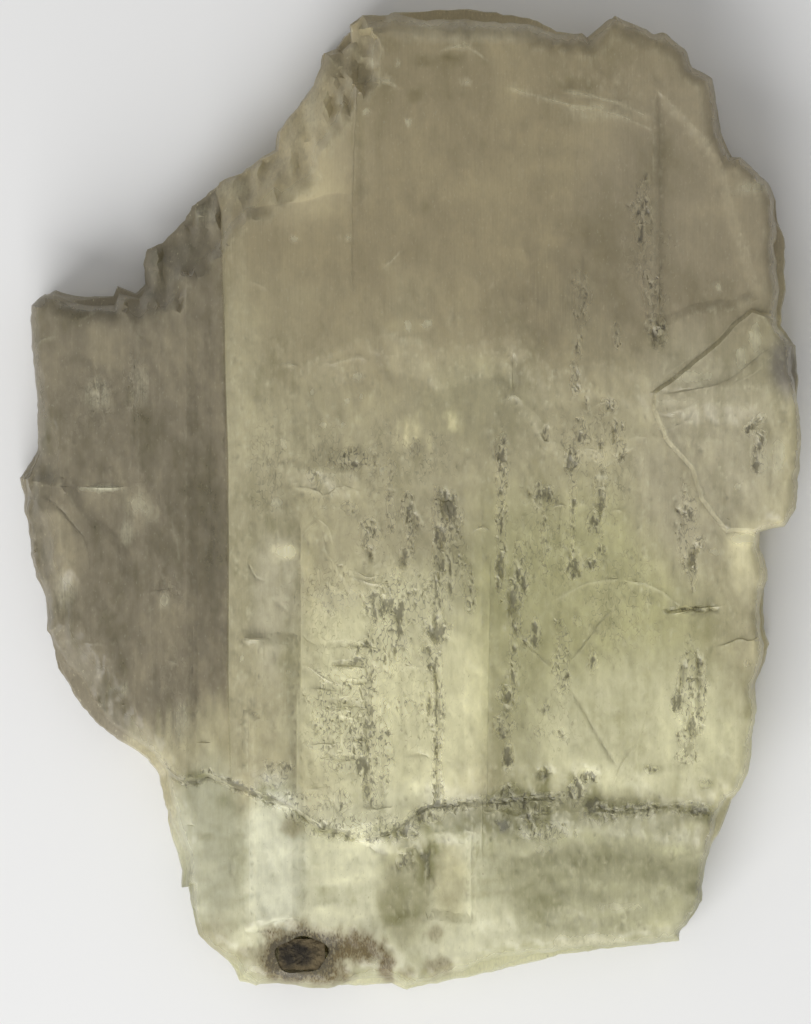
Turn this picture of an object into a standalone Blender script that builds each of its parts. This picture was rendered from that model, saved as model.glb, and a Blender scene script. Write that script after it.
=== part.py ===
"""Selenite crystal blade: one tabular gypsum crystal, broken all round, with a clay lump in its foot.

The blade lies on its back cleavage face. The crystal's long axis runs along +Y, and its cleavage
sheets are stacked along +Z. Lengths below are in millimetres, and a mesh is scaled to metres as it
is built. The origin is at the middle of the blade's box, on the surface that it rests on.
"""

import math
from typing import NamedTuple

import bmesh
import bpy
import numpy as np
from mathutils import Vector
from mathutils.geometry import delaunay_2d_cdt

MM = 0.001

# Driving dimensions. The blade is 246.5 long, 195.8 wide and 31.5 thick at the side crystal's crest.
FOOT_LEVEL = 19.5
FIELD_STEP = 2.2
MAIN_STEP = 3.6
UPPER_STEP = 2.0
SIDE_CRYSTAL_STEP = 1.6
SIDE_CRYSTAL_RISE = 2.6

# Mesh spacings
RIM_SPACING = 4.0
FACE_SPACING = 10.5
BACK_SPACING = 22.0
EDGE_SPACING = 5.0
LEAST_SPACING = 2.4
RIM_MARGIN = 1.3

# The broken side walls: the cleavage planes where their lower layers part, how deep one layer lies
# behind another, and how far each layer's top is set in from its foot
WALL_PARTINGS = (5.6, 11.0)
WALL_DEPTH = 4.6
WALL_BATTER = 0.6
WALL_LEDGE = 0.25
WALL_BREAK_LENGTH = 17.0

# Where the slope of the upper sheet's edge widens, from crisp on the left to a long wedge
WEDGE_START = -16.0
WEDGE_END = 4.0
WEDGE_SLOPE = 9.0

# The bevel falls in this many terraces, which take up this share of its drop
TERRACES = 3
TERRACE_SHARE = 0.45

# How far a break across the crystal wanders, and how far the back's rim is worn
SPLINTER_WIDTH = 3.1
WORN_WIDTH = 2.5
WORN_HEIGHT = 1.2

# The open pocket in the foot, and the clay lump in it
POCKET_CENTRE = (-26.8, -113.2)
POCKET_RADII = (6.4, 4.7)
POCKET_FLOOR = 9.0
POCKET_TAPER = 0.78
POCKET_CLEAR = 9.0
CLAY_GAP = 0.35
CLAY_LIP = 17.2
CLAY_CROWN = 1.3
CLAY_BUMP = 0.35
CLAY_SIDES = 14

# A pit's floor, as a share of its lip, and how steeply its sides fall
PIT_FLOOR = 0.34
PIT_STEEPNESS = 1.5


class Stretch(NamedTuple):
    """One stretch of the rim, with the width and drop of the bevel broken along it."""

    bevel: float
    drop: float
    points: tuple


class Sheet(NamedTuple):
    """A cleavage sheet on the blade: what it adds to the thickness, and how wide its edge slopes."""

    thickness: float
    slope: float
    ragged: float
    outline: tuple
    wedge: bool = False


class Pit(NamedTuple):
    """A dissolved pit, usually drawn out along the crystal's long axis."""

    x: float
    y: float
    half_width: float
    half_length: float
    depth: float


# The rim, anticlockwise from the top of the left shoulder
RIM = (
    Stretch(12.0, 10.5, (
        (-16.5, 116.5), (-18.5, 113.5), (-22.0, 112.5), (-22.5, 109.0), (-24.0, 104.0), (-25.5, 101.5),
        (-31.0, 95.0), (-33.0, 92.5), (-33.5, 88.0), (-36.5, 86.5), (-42.0, 82.0), (-47.5, 79.8),
        (-49.0, 78.0), (-54.5, 74.0), (-56.0, 70.3), (-62.0, 64.8), (-65.5, 63.0), (-66.5, 59.3),
        (-66.0, 54.3),
    )),
    Stretch(4.5, 3.5, (
        (-68.5, 52.0), (-73.0, 53.8), (-74.0, 51.5), (-84.0, 51.5), (-88.8, 53.0), (-91.3, 52.0),
        (-94.5, 49.0), (-94.5, 41.0), (-93.5, 31.0), (-92.8, 21.5),
    )),
    Stretch(8.0, 6.5, (
        (-93.0, 15.5), (-94.0, 11.8), (-98.0, 5.8), (-97.0, 1.5), (-96.8, -2.8), (-95.5, -5.8),
        (-95.0, -13.3), (-93.5, -19.3), (-91.3, -24.0), (-90.8, -32.5), (-88.8, -37.5), (-87.8, -41.8),
        (-85.3, -46.0), (-81.8, -51.5), (-77.5, -56.5),
    )),
    Stretch(4.0, 4.0, (
        (-70.5, -61.5), (-65.5, -64.8), (-63.0, -68.0), (-61.3, -76.3), (-59.8, -82.8), (-58.3, -88.5),
        (-57.0, -92.8), (-57.3, -97.0), (-55.8, -96.3), (-54.0, -103.3), (-52.8, -108.3), (-50.0, -111.8),
        (-46.3, -115.0), (-43.8, -118.3), (-42.5, -120.8),
    )),
    Stretch(3.6, 3.2, (
        (-38.5, -121.8), (-32.8, -120.5), (-24.0, -121.8), (-9.8, -121.8), (-4.3, -121.3), (-0.5, -123.3),
        (7.0, -121.0), (12.8, -119.5), (23.3, -117.8), (31.5, -115.8), (37.5, -114.0), (48.8, -112.5),
        (61.3, -111.3), (67.8, -110.3),
    )),
    Stretch(3.2, 3.4, (
        (67.8, -108.5), (71.5, -103.3), (73.3, -100.0), (73.3, -96.5), (74.8, -89.0), (78.8, -80.3),
        (81.0, -74.8), (82.5, -72.5), (84.8, -68.0), (86.0, -59.0), (87.3, -52.8), (87.3, -46.0),
        (90.3, -38.3), (90.5, -36.0), (89.3, -31.5), (89.5, -22.0), (90.5, -19.8), (89.5, -15.3),
        (88.0, -11.5), (88.0, -7.8),
    )),
    Stretch(2.6, 2.6, (
        (93.8, -6.5), (96.5, -1.8), (97.0, 5.3), (97.8, 14.0), (97.3, 22.8), (97.8, 31.5), (97.0, 39.0),
        (93.3, 44.0),
    )),
    Stretch(3.6, 3.8, (
        (93.3, 48.0), (94.5, 52.8), (94.0, 57.3), (94.5, 64.3), (92.8, 70.3), (92.5, 75.5), (90.3, 80.0),
        (83.5, 86.5), (81.3, 86.5), (79.0, 91.3), (77.0, 101.8), (75.8, 105.5), (70.8, 108.3),
    )),
    Stretch(5.0, 4.4, (
        (68.8, 112.8), (63.5, 116.8), (61.3, 116.5), (55.5, 119.3), (51.3, 121.0), (48.8, 119.3),
        (44.3, 115.5), (43.0, 117.0), (37.0, 117.5), (30.3, 121.0), (15.3, 123.3), (-3.5, 122.5),
        (-11.8, 121.5), (-15.0, 119.3),
    )),
)

# The ledge across the lower third, from the left rim to where its two terraces part
LEDGE = (
    (-64.5, -64.5), (-56.3, -70.0), (-51.0, -68.5), (-43.5, -70.3), (-38.5, -72.5), (-29.3, -75.8),
    (-25.8, -78.5), (-22.3, -81.8), (-7.3, -83.5), (-2.3, -81.0), (2.8, -76.8),
)

SHEETS = (
    # Everything above the ledge
    Sheet(FIELD_STEP, 1.0, 0.8, (
        (-130.0, 140.0), (-130.0, -64.5), *LEDGE, (5.3, -78.5), (17.8, -82.8), (37.8, -84.3),
        (57.8, -83.8), (78.3, -81.5), (130.0, -81.5), (130.0, 140.0),
    )),
    # The main sheet, with the long straight step on its left
    Sheet(MAIN_STEP, 0.5, 0.6, (
        (-53.0, 140.0), (-49.5, 84.0), (-46.8, 72.0), (-45.0, 5.0), (-45.0, -42.0), (-42.5, -56.0),
        (-43.5, -69.5), *LEDGE[4:], (7.0, -75.5), (22.8, -74.8), (37.8, -73.5), (57.8, -74.8),
        (77.8, -78.5), (130.0, -78.5), (130.0, 140.0),
    )),
    # The strip between the long step and the second one, and the head, which wedges out downwards
    Sheet(UPPER_STEP, 0.5, 0.5, (
        (-51.0, 140.0), (-48.0, 84.0), (-45.5, 72.0), (-43.8, 5.0), (-43.8, -42.0), (-41.3, -56.0),
        (-42.0, -68.0), (-37.5, -70.5), (-27.8, -74.0), (-27.8, -46.0), (-26.8, -46.0), (-26.8, -1.0),
        (-29.5, 0.5), (-29.5, 4.0), (-12.0, 4.5), (-12.5, 9.0), (-25.3, 11.0), (-25.3, 29.0),
        (-15.0, 34.0), (-6.0, 37.0), (8.0, 32.0), (24.0, 36.0), (34.0, 27.0), (48.0, 30.0),
        (60.0, 24.0), (130.0, 22.0), (130.0, 140.0),
    ), True),
    # Low sheets on the darker left lamella
    Sheet(0.9, 0.5, 0.8, (
        (-68.5, 140.0), (-68.5, 8.0), (-66.0, -20.0), (-64.0, -80.0), (-54.0, -80.0), (-54.0, 140.0),
    )),
    Sheet(0.6, 0.6, 1.2, (
        (-130.0, 20.0), (-86.0, 4.0), (-79.0, -4.0), (-70.0, -14.0), (-71.0, -24.0), (-80.0, -36.0),
        (-130.0, -40.0),
    )),
    # The narrow sheet that crosses the ledge
    Sheet(1.1, 0.5, 0.6, (
        (-40.5, -34.0), (-37.8, -34.5), (-37.8, -52.8), (-39.8, -52.8), (-39.8, -106.0),
        (-27.5, -105.0), (-27.5, -78.0), (-29.0, -34.0),
    )),
    # Shallow panels between the long faint steps
    Sheet(-0.6, 0.5, 0.7, ((-16.8, -42.0), (-16.8, -79.0), (7.0, -73.0), (7.0, -40.0))),
    Sheet(-0.7, 0.6, 1.0, (
        (19.5, -76.0), (58.0, -76.0), (58.0, 14.0), (39.0, 9.0), (25.5, 27.0), (25.5, 36.0), (19.5, 4.0),
    )),
    Sheet(-0.8, 0.5, 1.0, ((62.0, 45.0), (86.0, 50.0), (76.0, 84.0), (62.0, 101.0))),
    Sheet(-0.9, 0.7, 0.8, ((5.3, -84.0), (15.5, -83.5), (15.5, -104.0), (5.3, -103.0))),
    Sheet(1.0, 4.0, 1.5, ((15.5, -91.0), (60.0, -89.0), (66.0, -96.0), (44.0, -104.0), (16.0, -106.0))),
    # The broken hollow round the clay
    Sheet(-1.6, 2.6, 1.6, (
        (-44.0, -112.0), (-36.0, -107.0), (-28.0, -106.0), (-16.0, -108.0), (-8.0, -110.0),
        (-1.0, -116.0), (2.0, -130.0), (-50.0, -130.0),
    )),
    # The side crystal: its lowest ledge, and the faceted rise to its crest
    Sheet(SIDE_CRYSTAL_STEP, 0.5, 0.3, (
        (60.8, 27.0), (69.0, 32.8), (74.8, 37.8), (80.3, 43.3), (84.8, 47.0), (90.0, 45.5),
        (130.0, 45.0), (130.0, -7.5), (79.0, -7.5), (72.8, 0.3), (70.3, 7.8), (64.0, 15.3),
        (60.8, 22.8),
    )),
    Sheet(SIDE_CRYSTAL_RISE, 5.0, 0.3, (
        (66.0, 23.0), (72.8, 28.0), (82.8, 35.0), (88.0, 42.0), (130.0, 42.0), (130.0, -3.0),
        (86.0, -2.0), (76.0, 8.0),
    )),
)

# Sheets that are missing from the back
BACK_SHEETS = (
    Sheet(1.6, 0.6, 1.0, (
        (-130.0, 60.0), (-78.0, 58.0), (-78.0, 6.0), (-71.0, -14.0), (-71.0, -70.0), (-130.0, -70.0),
    )),
    Sheet(2.4, 0.6, 1.0, ((60.0, 140.0), (60.0, 84.0), (72.0, 60.0), (130.0, 50.0), (130.0, 140.0))),
    Sheet(1.3, 0.6, 1.0, (
        (52.0, -130.0), (52.0, -92.0), (66.0, -70.0), (66.0, -30.0), (130.0, -20.0), (130.0, -130.0),
    )),
    Sheet(1.8, 0.6, 1.0, ((-60.0, -130.0), (-60.0, -98.0), (-36.0, -104.0), (-8.0, -112.0), (-8.0, -130.0))),
)

PITS = (
    Pit(9.5, -1.0, 2.0, 3.2, 1.6), Pit(8.3, -8.0, 1.4, 3.6, 1.4), Pit(8.0, -16.0, 1.3, 3.8, 1.2),
    Pit(1.8, -4.8, 1.2, 3.0, 0.9), Pit(-9.8, -13.5, 1.6, 3.0, 1.0), Pit(-1.3, -14.5, 1.0, 2.4, 0.9),
    Pit(7.0, -31.0, 1.4, 5.5, 1.3), Pit(-6.0, -26.0, 2.2, 3.0, 1.2), Pit(-10.8, -72.3, 1.3, 3.0, 1.0),
    Pit(22.8, -15.5, 1.3, 3.6, 1.1), Pit(26.0, -24.5, 1.5, 4.0, 1.3), Pit(24.0, -47.0, 1.2, 6.0, 1.3),
    Pit(24.8, -63.0, 1.4, 5.0, 1.3), Pit(30.3, 1.5, 1.2, 3.0, 0.8), Pit(41.5, -14.8, 1.6, 4.0, 1.1),
    Pit(47.8, -1.0, 1.4, 4.0, 1.0), Pit(50.8, 15.3, 1.1, 4.0, 0.8), Pit(44.0, 25.3, 1.0, 3.5, 0.7),
    Pit(34.0, 16.5, 1.0, 3.0, 0.7), Pit(66.5, -4.0, 1.4, 4.0, 1.0), Pit(70.3, -13.0, 1.5, 3.0, 1.1),
    Pit(60.8, 41.5, 1.8, 3.4, 1.2), Pit(72.3, -42.0, 1.2, 6.0, 1.1), Pit(70.3, -56.0, 1.3, 4.0, 1.0),
    Pit(5.0, -50.0, 1.0, 5.0, 0.9), Pit(34.0, -67.5, 3.0, 1.8, 1.2), Pit(44.5, -68.5, 3.5, 2.0, 1.2),
    Pit(0.0, -89.5, 3.4, 3.5, 1.4), Pit(69.8, -27.0, 7.0, 1.0, 1.2), Pit(85.3, 18.5, 1.5, 1.0, 0.8),
    Pit(85.8, 12.5, 1.0, 3.0, 0.9),
)

# The ladder of crevices below the second step
RUNGS = 7
RUNG_TOP = -35.5
RUNG_PITCH = 4.7


def scattered(index, seed):
    """A value between -1 and 1 for each whole number, the same each time for one seed."""
    wave = np.abs(np.sin(index * 12.9898 + seed * 78.233)) * 43758.5453
    return 2.0 * np.modf(wave)[0] - 1.0


def broken(along, length, seed):
    """A broken line between -1 and 1 along a coordinate, with a corner at each length."""
    cell = np.floor(along / length)
    share = along / length - cell
    return scattered(cell, seed) * (1.0 - share) + scattered(cell + 1.0, seed) * share


def resampled(corners, spacing):
    """A closed outline with its corners kept and no two neighbours further apart than the spacing."""
    points = []
    for start, end in zip(corners, np.roll(corners, -1, axis=0)):
        parts = max(1, round(float(np.linalg.norm(end - start)) / spacing))
        points.extend(start + (end - start) * i / parts for i in range(parts))
    return np.array(points)


def inside(points, outline):
    """Which points lie inside a closed outline."""
    result = np.zeros(len(points), dtype=bool)
    for (x0, y0), (x1, y1) in zip(outline, np.roll(outline, -1, axis=0)):
        if y0 == y1:
            continue
        spans = (points[:, 1] < y0) != (points[:, 1] < y1)
        result ^= spans & (points[:, 0] < x0 + (points[:, 1] - y0) * (x1 - x0) / (y1 - y0))
    return result


def depth_inside(points, outline):
    """Each point's distance to a closed outline, positive inside it."""
    nearest = np.full(len(points), np.inf)
    for start, end in zip(outline, np.roll(outline, -1, axis=0)):
        span = end - start
        share = np.clip((points - start) @ span / max(float(span @ span), 1e-9), 0.0, 1.0)
        nearest = np.minimum(nearest, np.linalg.norm(points - start - share[:, None] * span, axis=1))
    return np.where(inside(points, outline), nearest, -nearest)


def normals_of(outline):
    """Unit normals at an anticlockwise outline's points, pointing inwards."""
    along = np.roll(outline, -1, axis=0) - np.roll(outline, 1, axis=0)
    inward = np.stack([-along[:, 1], along[:, 0]], axis=1)
    return inward / np.maximum(np.linalg.norm(inward, axis=1, keepdims=True), 1e-9)


def smoothed(values, rounds):
    """A closed run of values, averaged with its neighbours."""
    for _ in range(rounds):
        values = (np.roll(values, 1, axis=0) + 2.0 * values + np.roll(values, -1, axis=0)) / 4.0
    return values


def sheet_outline(sheet, seed):
    """A sheet's outline: straight along the crystal's long axis and ragged where it breaks across."""
    outline = resampled(np.array(sheet.outline), EDGE_SPACING)
    outline[:, 1] += sheet.ragged * broken(outline[:, 0], SPLINTER_WIDTH, seed)
    return outline


def slope_at(sheet, x):
    """How wide a sheet's edge slopes at each x."""
    if not sheet.wedge:
        return np.full(len(x), sheet.slope)
    share = np.clip((x - WEDGE_START) / (WEDGE_END - WEDGE_START), 0.0, 1.0)
    return sheet.slope + (WEDGE_SLOPE - sheet.slope) * share


def ramp(values):
    """The values held between 0 and 1."""
    return np.clip(values, 0.0, 1.0)


def all_pits():
    """The pits and the rungs of the ladder of crevices."""
    rungs = [
        Pit(-17.0 + 1.8 * (i % 3), RUNG_TOP - RUNG_PITCH * i, 5.2 - 0.8 * (i % 2), 1.1, 1.0)
        for i in range(RUNGS)
    ]
    return [*PITS, *rungs]


def pocket_share(points):
    """How far out each point lies in the pocket: 0 at its middle and 1 at its lip."""
    x = (points[:, 0] - POCKET_CENTRE[0]) / POCKET_RADII[0]
    y = (points[:, 1] - POCKET_CENTRE[1]) / POCKET_RADII[1]
    return np.hypot(x, y) / pocket_lobes(np.arctan2(y, x))


def pocket_lobes(angle):
    """The pocket's uneven outline, as a share of its radii."""
    return 1.0 + 0.07 * np.sin(2.0 * angle + 0.6) + 0.06 * np.sin(5.0 * angle)


def pocket_loop(scale, inset):
    """A loop round the pocket, at a share of its size and set in from it by a fixed distance."""
    angle = np.linspace(0.0, 2.0 * math.pi, CLAY_SIDES, endpoint=False)
    reach = scale * pocket_lobes(angle)
    x = (POCKET_RADII[0] * reach - inset) * np.cos(angle)
    y = (POCKET_RADII[1] * reach - inset) * np.sin(angle)
    return np.stack([x, y], axis=1) + POCKET_CENTRE


class Rim:
    """The blade's outline as rings: one at the bottom and top of each layer of the broken wall."""

    def __init__(self):
        corners = np.array([point for stretch in RIM for point in stretch.points])
        self.outline = resampled(corners, RIM_SPACING)
        stretch_of = np.concatenate([[i] * len(stretch.points) for i, stretch in enumerate(RIM)])
        nearest = [int(np.argmin(np.linalg.norm(corners - point, axis=1))) for point in self.outline]
        stretches = [RIM[stretch_of[index]] for index in nearest]
        self.bevel = smoothed(np.array([stretch.bevel for stretch in stretches]), 3)
        self.drop = smoothed(np.array([stretch.drop for stretch in stretches]), 3)
        self.inward = normals_of(smoothed(self.outline, 6))
        self.room = self.clearance()
        self.layers = self.layer_offsets()

    def clearance(self):
        """How much a ring may be set in at each point, so that thin splinters stay whole."""
        apart = np.linalg.norm(self.outline[:, None] - self.outline[None], axis=2)
        index = np.arange(len(self.outline))
        steps = np.abs(index[:, None] - index[None])
        steps = np.minimum(steps, len(index) - steps)
        apart[steps < 4] = np.inf
        return smoothed(np.clip(apart.min(axis=1) / (3.0 * WALL_DEPTH), 0.1, 1.0), 2)

    def layer_offsets(self):
        """How far each layer of the wall is set in from the outline: the widest one stands on it."""
        along = np.arange(len(self.outline)) * RIM_SPACING
        layers = len(WALL_PARTINGS) + 2
        offsets = [0.5 + 0.5 * broken(along, WALL_BREAK_LENGTH, seed + 1) for seed in range(layers)]
        offsets = WALL_DEPTH * np.array(offsets)
        from_pocket = np.linalg.norm(self.outline - POCKET_CENTRE, axis=1)
        offsets[-2:] *= ramp((from_pocket - POCKET_CLEAR) / POCKET_CLEAR)
        return (offsets - offsets.min(axis=0)) * self.room

    def ring(self, layer, inset):
        """One ring in plan, for a layer of the wall and an extra inset."""
        return self.outline + self.inward * (self.layers[layer] + inset * self.room)[:, None]

    def plans(self):
        """The plan of each ring from the bottom up: the foot and head of each layer."""
        pairs = [(self.ring(layer, 0.0), self.ring(layer, WALL_BATTER)) for layer in range(len(self.layers))]
        return [plan for pair in pairs for plan in pair]


def wall_levels(low, high):
    """The height of each ring of the wall, from the bottom edge to the top one."""
    partings = [np.full(len(low), parting) for parting in WALL_PARTINGS]
    partings.append(0.5 * (high + WALL_PARTINGS[-1]))
    levels = [low]
    for parting in partings:
        levels += [parting - WALL_LEDGE, parting + WALL_LEDGE]
    return [*levels, high]


def sheet_height(points, sheets):
    """What the sheets add to the height at each point."""
    height = np.zeros(len(points))
    for seed, sheet in enumerate(sheets):
        depth = depth_inside(points, sheet_outline(sheet, seed))
        height += sheet.thickness * ramp(depth / slope_at(sheet, points[:, 0]) + 0.5)
    return height


def bevel_drop(points, rim, edge):
    """How far the broken bevel takes the top down at each point, in terraces."""
    apart = np.linalg.norm(points[:, None] - edge[None], axis=2)
    nearest = apart.argmin(axis=1)
    share = ramp(1.0 - apart.min(axis=1) / rim.bevel[nearest])
    terraces = np.floor(share * TERRACES + 0.5) / TERRACES
    return rim.drop[nearest] * (share + TERRACE_SHARE * (terraces - share))


def top_height(points, rim, edge):
    """The height of the blade's upper face at each point."""
    height = FOOT_LEVEL + sheet_height(points, SHEETS) - bevel_drop(points, rim, edge)
    for pit in all_pits():
        reach = np.hypot((points[:, 0] - pit.x) / pit.half_width, (points[:, 1] - pit.y) / pit.half_length)
        height -= pit.depth * ramp(PIT_STEEPNESS * (1.0 - reach))
    share = pocket_share(points)
    wall = ramp((1.0 - share) / (1.0 - POCKET_TAPER))
    return height + (POCKET_FLOOR - height) * np.where(share < 1.0 - 1e-6, wall, 0.0)


def back_height(points, edge):
    """The height of the blade's back at each point: flat, but for missing sheets and a worn rim."""
    worn = WORN_HEIGHT * ramp(1.0 - depth_inside(points, edge) / WORN_WIDTH)
    return sheet_height(points, BACK_SHEETS) + worn


def edge_lines(sheets):
    """The foot and head of each sheet's sloping edge, as closed lines."""
    lines = []
    for seed, sheet in enumerate(sheets):
        outline = sheet_outline(sheet, seed)
        x, y = outline.T
        area = float(np.sum(x * np.roll(y, -1) - np.roll(x, -1) * y))
        half = 0.5 * slope_at(sheet, outline[:, 0])[:, None]
        inward = normals_of(outline) * math.copysign(1.0, area) * half
        lines += [outline - inward, outline + inward]
    return lines


def pit_lines():
    """A lip and a floor line for each pit."""
    lines = []
    for pit in all_pits():
        for share, sides in ((1.0, 8), (PIT_FLOOR, 4)):
            angle = np.linspace(0.0, 2.0 * math.pi, sides, endpoint=False)
            x = pit.x + share * pit.half_width * np.cos(angle)
            y = pit.y + share * pit.half_length * np.sin(angle)
            lines.append(np.stack([x, y], axis=1))
    return lines


def grid(spacing):
    """Points over the whole blade in staggered rows, each nudged off its row."""
    rows = []
    for row, y in enumerate(np.arange(-125.0, 125.0, spacing * 0.87)):
        x = np.arange(-100.0, 100.0, spacing) + (row % 2) * spacing * 0.5
        nudge = 0.22 * spacing * broken(x + 31.0 * row, 1.7, 5)
        rows.append(np.stack([x, y + nudge], axis=1))
    return np.concatenate(rows)


def bevel_points(rim, edge):
    """Points along the bevel, where its terraces fall."""
    points, depths = [], []
    for row in range(TERRACES):
        depth = rim.bevel * (row + 1) / TERRACES
        points.append((edge + rim.inward * depth[:, None])[row::2])
        depths.append(depth[row::2])
    points, depths = np.concatenate(points), np.concatenate(depths)
    return points[depth_inside(points, edge) > 0.8 * depths]


def clear_of(points, others, least):
    """The points that keep a distance from all the others."""
    apart = np.linalg.norm(points[:, None] - others[None], axis=2)
    return points[apart.min(axis=1) > least]


def triangulated(edge, lines, scatter):
    """The plan points and triangles that fill an outline, with edges along the lines."""
    count = len(edge)
    points = [Vector(point) for point in edge]
    edges = [(i, (i + 1) % count) for i in range(count)]
    for line in lines:
        keep = depth_inside(line, edge) > RIM_MARGIN
        joined = depth_inside((line + np.roll(line, -1, axis=0)) / 2.0, edge) > RIM_MARGIN
        place_of = {}
        for i in np.flatnonzero(keep):
            place_of[int(i)] = len(points)
            points.append(Vector(line[i]))
        for i, place in place_of.items():
            after = place_of.get((i + 1) % len(line))
            if after is not None and joined[i]:
                edges.append((place, after))
    points += [Vector(point) for point in scatter[depth_inside(scatter, edge) > RIM_MARGIN]]
    made = delaunay_2d_cdt(points, edges, [], 1, 1e-3)
    source = [min(origins) if origins else -1 for origins in made[3]]
    return np.array([tuple(point) for point in made[0]]), made[2], source


def add_cap(mesh, ring, plan, triangles, source, height):
    """Fill a ring of the mesh with triangles at the given heights."""
    corners = []
    for point, origin, z in zip(plan, source, height):
        on_ring = 0 <= origin < len(ring)
        corners.append(ring[origin] if on_ring else mesh.verts.new((*(point * MM), z * MM)))
    for triangle in triangles:
        chosen = [corners[i] for i in triangle]
        if len(set(chosen)) == 3:
            mesh.faces.new(chosen)


def crystal_mesh():
    """The crystal: a wall of broken layers between its upper face and its back."""
    rim = Rim()
    plans = rim.plans()
    foot, edge = plans[0], plans[-1]
    levels = wall_levels(back_height(foot, foot), top_height(edge, rim, edge))
    mesh = bmesh.new()
    loops = []
    for plan, level in zip(plans, levels):
        loops.append([mesh.verts.new((x * MM, y * MM, z * MM)) for (x, y), z in zip(plan, level)])
    for below, above in zip(loops, loops[1:]):
        for i in range(len(below)):
            after = (i + 1) % len(below)
            mesh.faces.new((below[i], below[after], above[after], above[i]))
    pocket = [pocket_loop(1.0, 0.0), pocket_loop(POCKET_TAPER, 0.0)]
    lines = [*edge_lines(SHEETS), *pit_lines(), *pocket]
    scatter = clear_of(bevel_points(rim, edge), np.concatenate(lines), LEAST_SPACING)
    taken = np.concatenate([*lines, scatter, edge])
    scatter = np.concatenate([scatter, clear_of(grid(FACE_SPACING), taken, LEAST_SPACING)])
    plan, triangles, source = triangulated(edge, lines, scatter[pocket_share(scatter) > 1.3])
    add_cap(mesh, loops[-1], plan, triangles, source, top_height(plan, rim, edge))
    lines = edge_lines(BACK_SHEETS)
    scatter = clear_of(grid(BACK_SPACING), np.concatenate([*lines, foot]), 2.0 * LEAST_SPACING)
    plan, triangles, source = triangulated(foot, lines, scatter)
    add_cap(mesh, loops[0], plan, triangles, source, back_height(plan, foot))
    return mesh


def clay_mesh():
    """The clay lump: the pocket's shape, set in by the gap, with a lumpy crown."""
    mesh = bmesh.new()
    levels = (
        (POCKET_TAPER, POCKET_FLOOR + CLAY_GAP, 0.0), (0.9, 0.5 * (POCKET_FLOOR + CLAY_LIP), 0.0),
        (0.92, CLAY_LIP - CLAY_CROWN, 0.0), (0.74, CLAY_LIP + 0.3 * CLAY_CROWN, CLAY_BUMP),
        (0.4, CLAY_LIP + CLAY_CROWN, CLAY_BUMP),
    )
    loops = []
    for row, (scale, level, bump) in enumerate(levels):
        plan = pocket_loop(scale, CLAY_GAP)
        rise = level + bump * scattered(np.arange(CLAY_SIDES), row)
        loops.append([mesh.verts.new((x * MM, y * MM, z * MM)) for (x, y), z in zip(plan, rise)])
    for below, above in zip(loops, loops[1:]):
        for i in range(CLAY_SIDES):
            after = (i + 1) % CLAY_SIDES
            mesh.faces.new((below[i], below[after], above[after], above[i]))
    mesh.faces.new(reversed(loops[0]))
    middle = mesh.verts.new((POCKET_CENTRE[0] * MM, POCKET_CENTRE[1] * MM, (CLAY_LIP + CLAY_CROWN) * MM))
    for i in range(CLAY_SIDES):
        mesh.faces.new((loops[-1][i], loops[-1][(i + 1) % CLAY_SIDES], middle))
    return mesh


def material(name, colour, roughness):
    """A plain material of one colour."""
    made = bpy.data.materials.new(name)
    made.use_nodes = True
    shader = made.node_tree.nodes["Principled BSDF"]
    shader.inputs["Base Color"].default_value = (*colour, 1.0)
    shader.inputs["Roughness"].default_value = roughness
    shader.inputs["Metallic"].default_value = 0.0
    return made


def place(name, mesh, finish):
    """An object made from a mesh, triangulated, facing out and shaded flat."""
    loose = [vertex for vertex in mesh.verts if not vertex.link_faces]
    bmesh.ops.delete(mesh, geom=loose, context="VERTS")
    bmesh.ops.triangulate(mesh, faces=mesh.faces)
    bmesh.ops.recalc_face_normals(mesh, faces=mesh.faces)
    data = bpy.data.meshes.new(name)
    mesh.to_mesh(data)
    mesh.free()
    data.materials.append(finish)
    thing = bpy.data.objects.new(name, data)
    bpy.context.scene.collection.objects.link(thing)
    return thing


def main():
    """Build the crystal and the clay lump in an empty scene."""
    for thing in list(bpy.data.objects):
        bpy.data.objects.remove(thing, do_unlink=True)
    place("crystal_blade", crystal_mesh(), material("selenite", (0.55, 0.52, 0.36), 0.2))
    place("clay_inclusion", clay_mesh(), material("iron_clay", (0.09, 0.055, 0.025), 0.85))


main()
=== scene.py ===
"""Looks of the selenite crystal blade: its fine surface, its clay lump, a pale floor and soft light.

Lengths are millimetres, scaled to metres as a mesh is made. Marks on the upper face are placed by
pixels of the photograph, four to a millimetre, which on_blade turns into millimetres.
"""

import logging
import math
from collections.abc import Callable, Sequence
from dataclasses import dataclass, field
from enum import Enum
from typing import NamedTuple

import bpy
import numpy as np
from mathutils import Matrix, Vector
from mathutils.geometry import delaunay_2d_cdt
from mathutils.kdtree import KDTree


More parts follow.
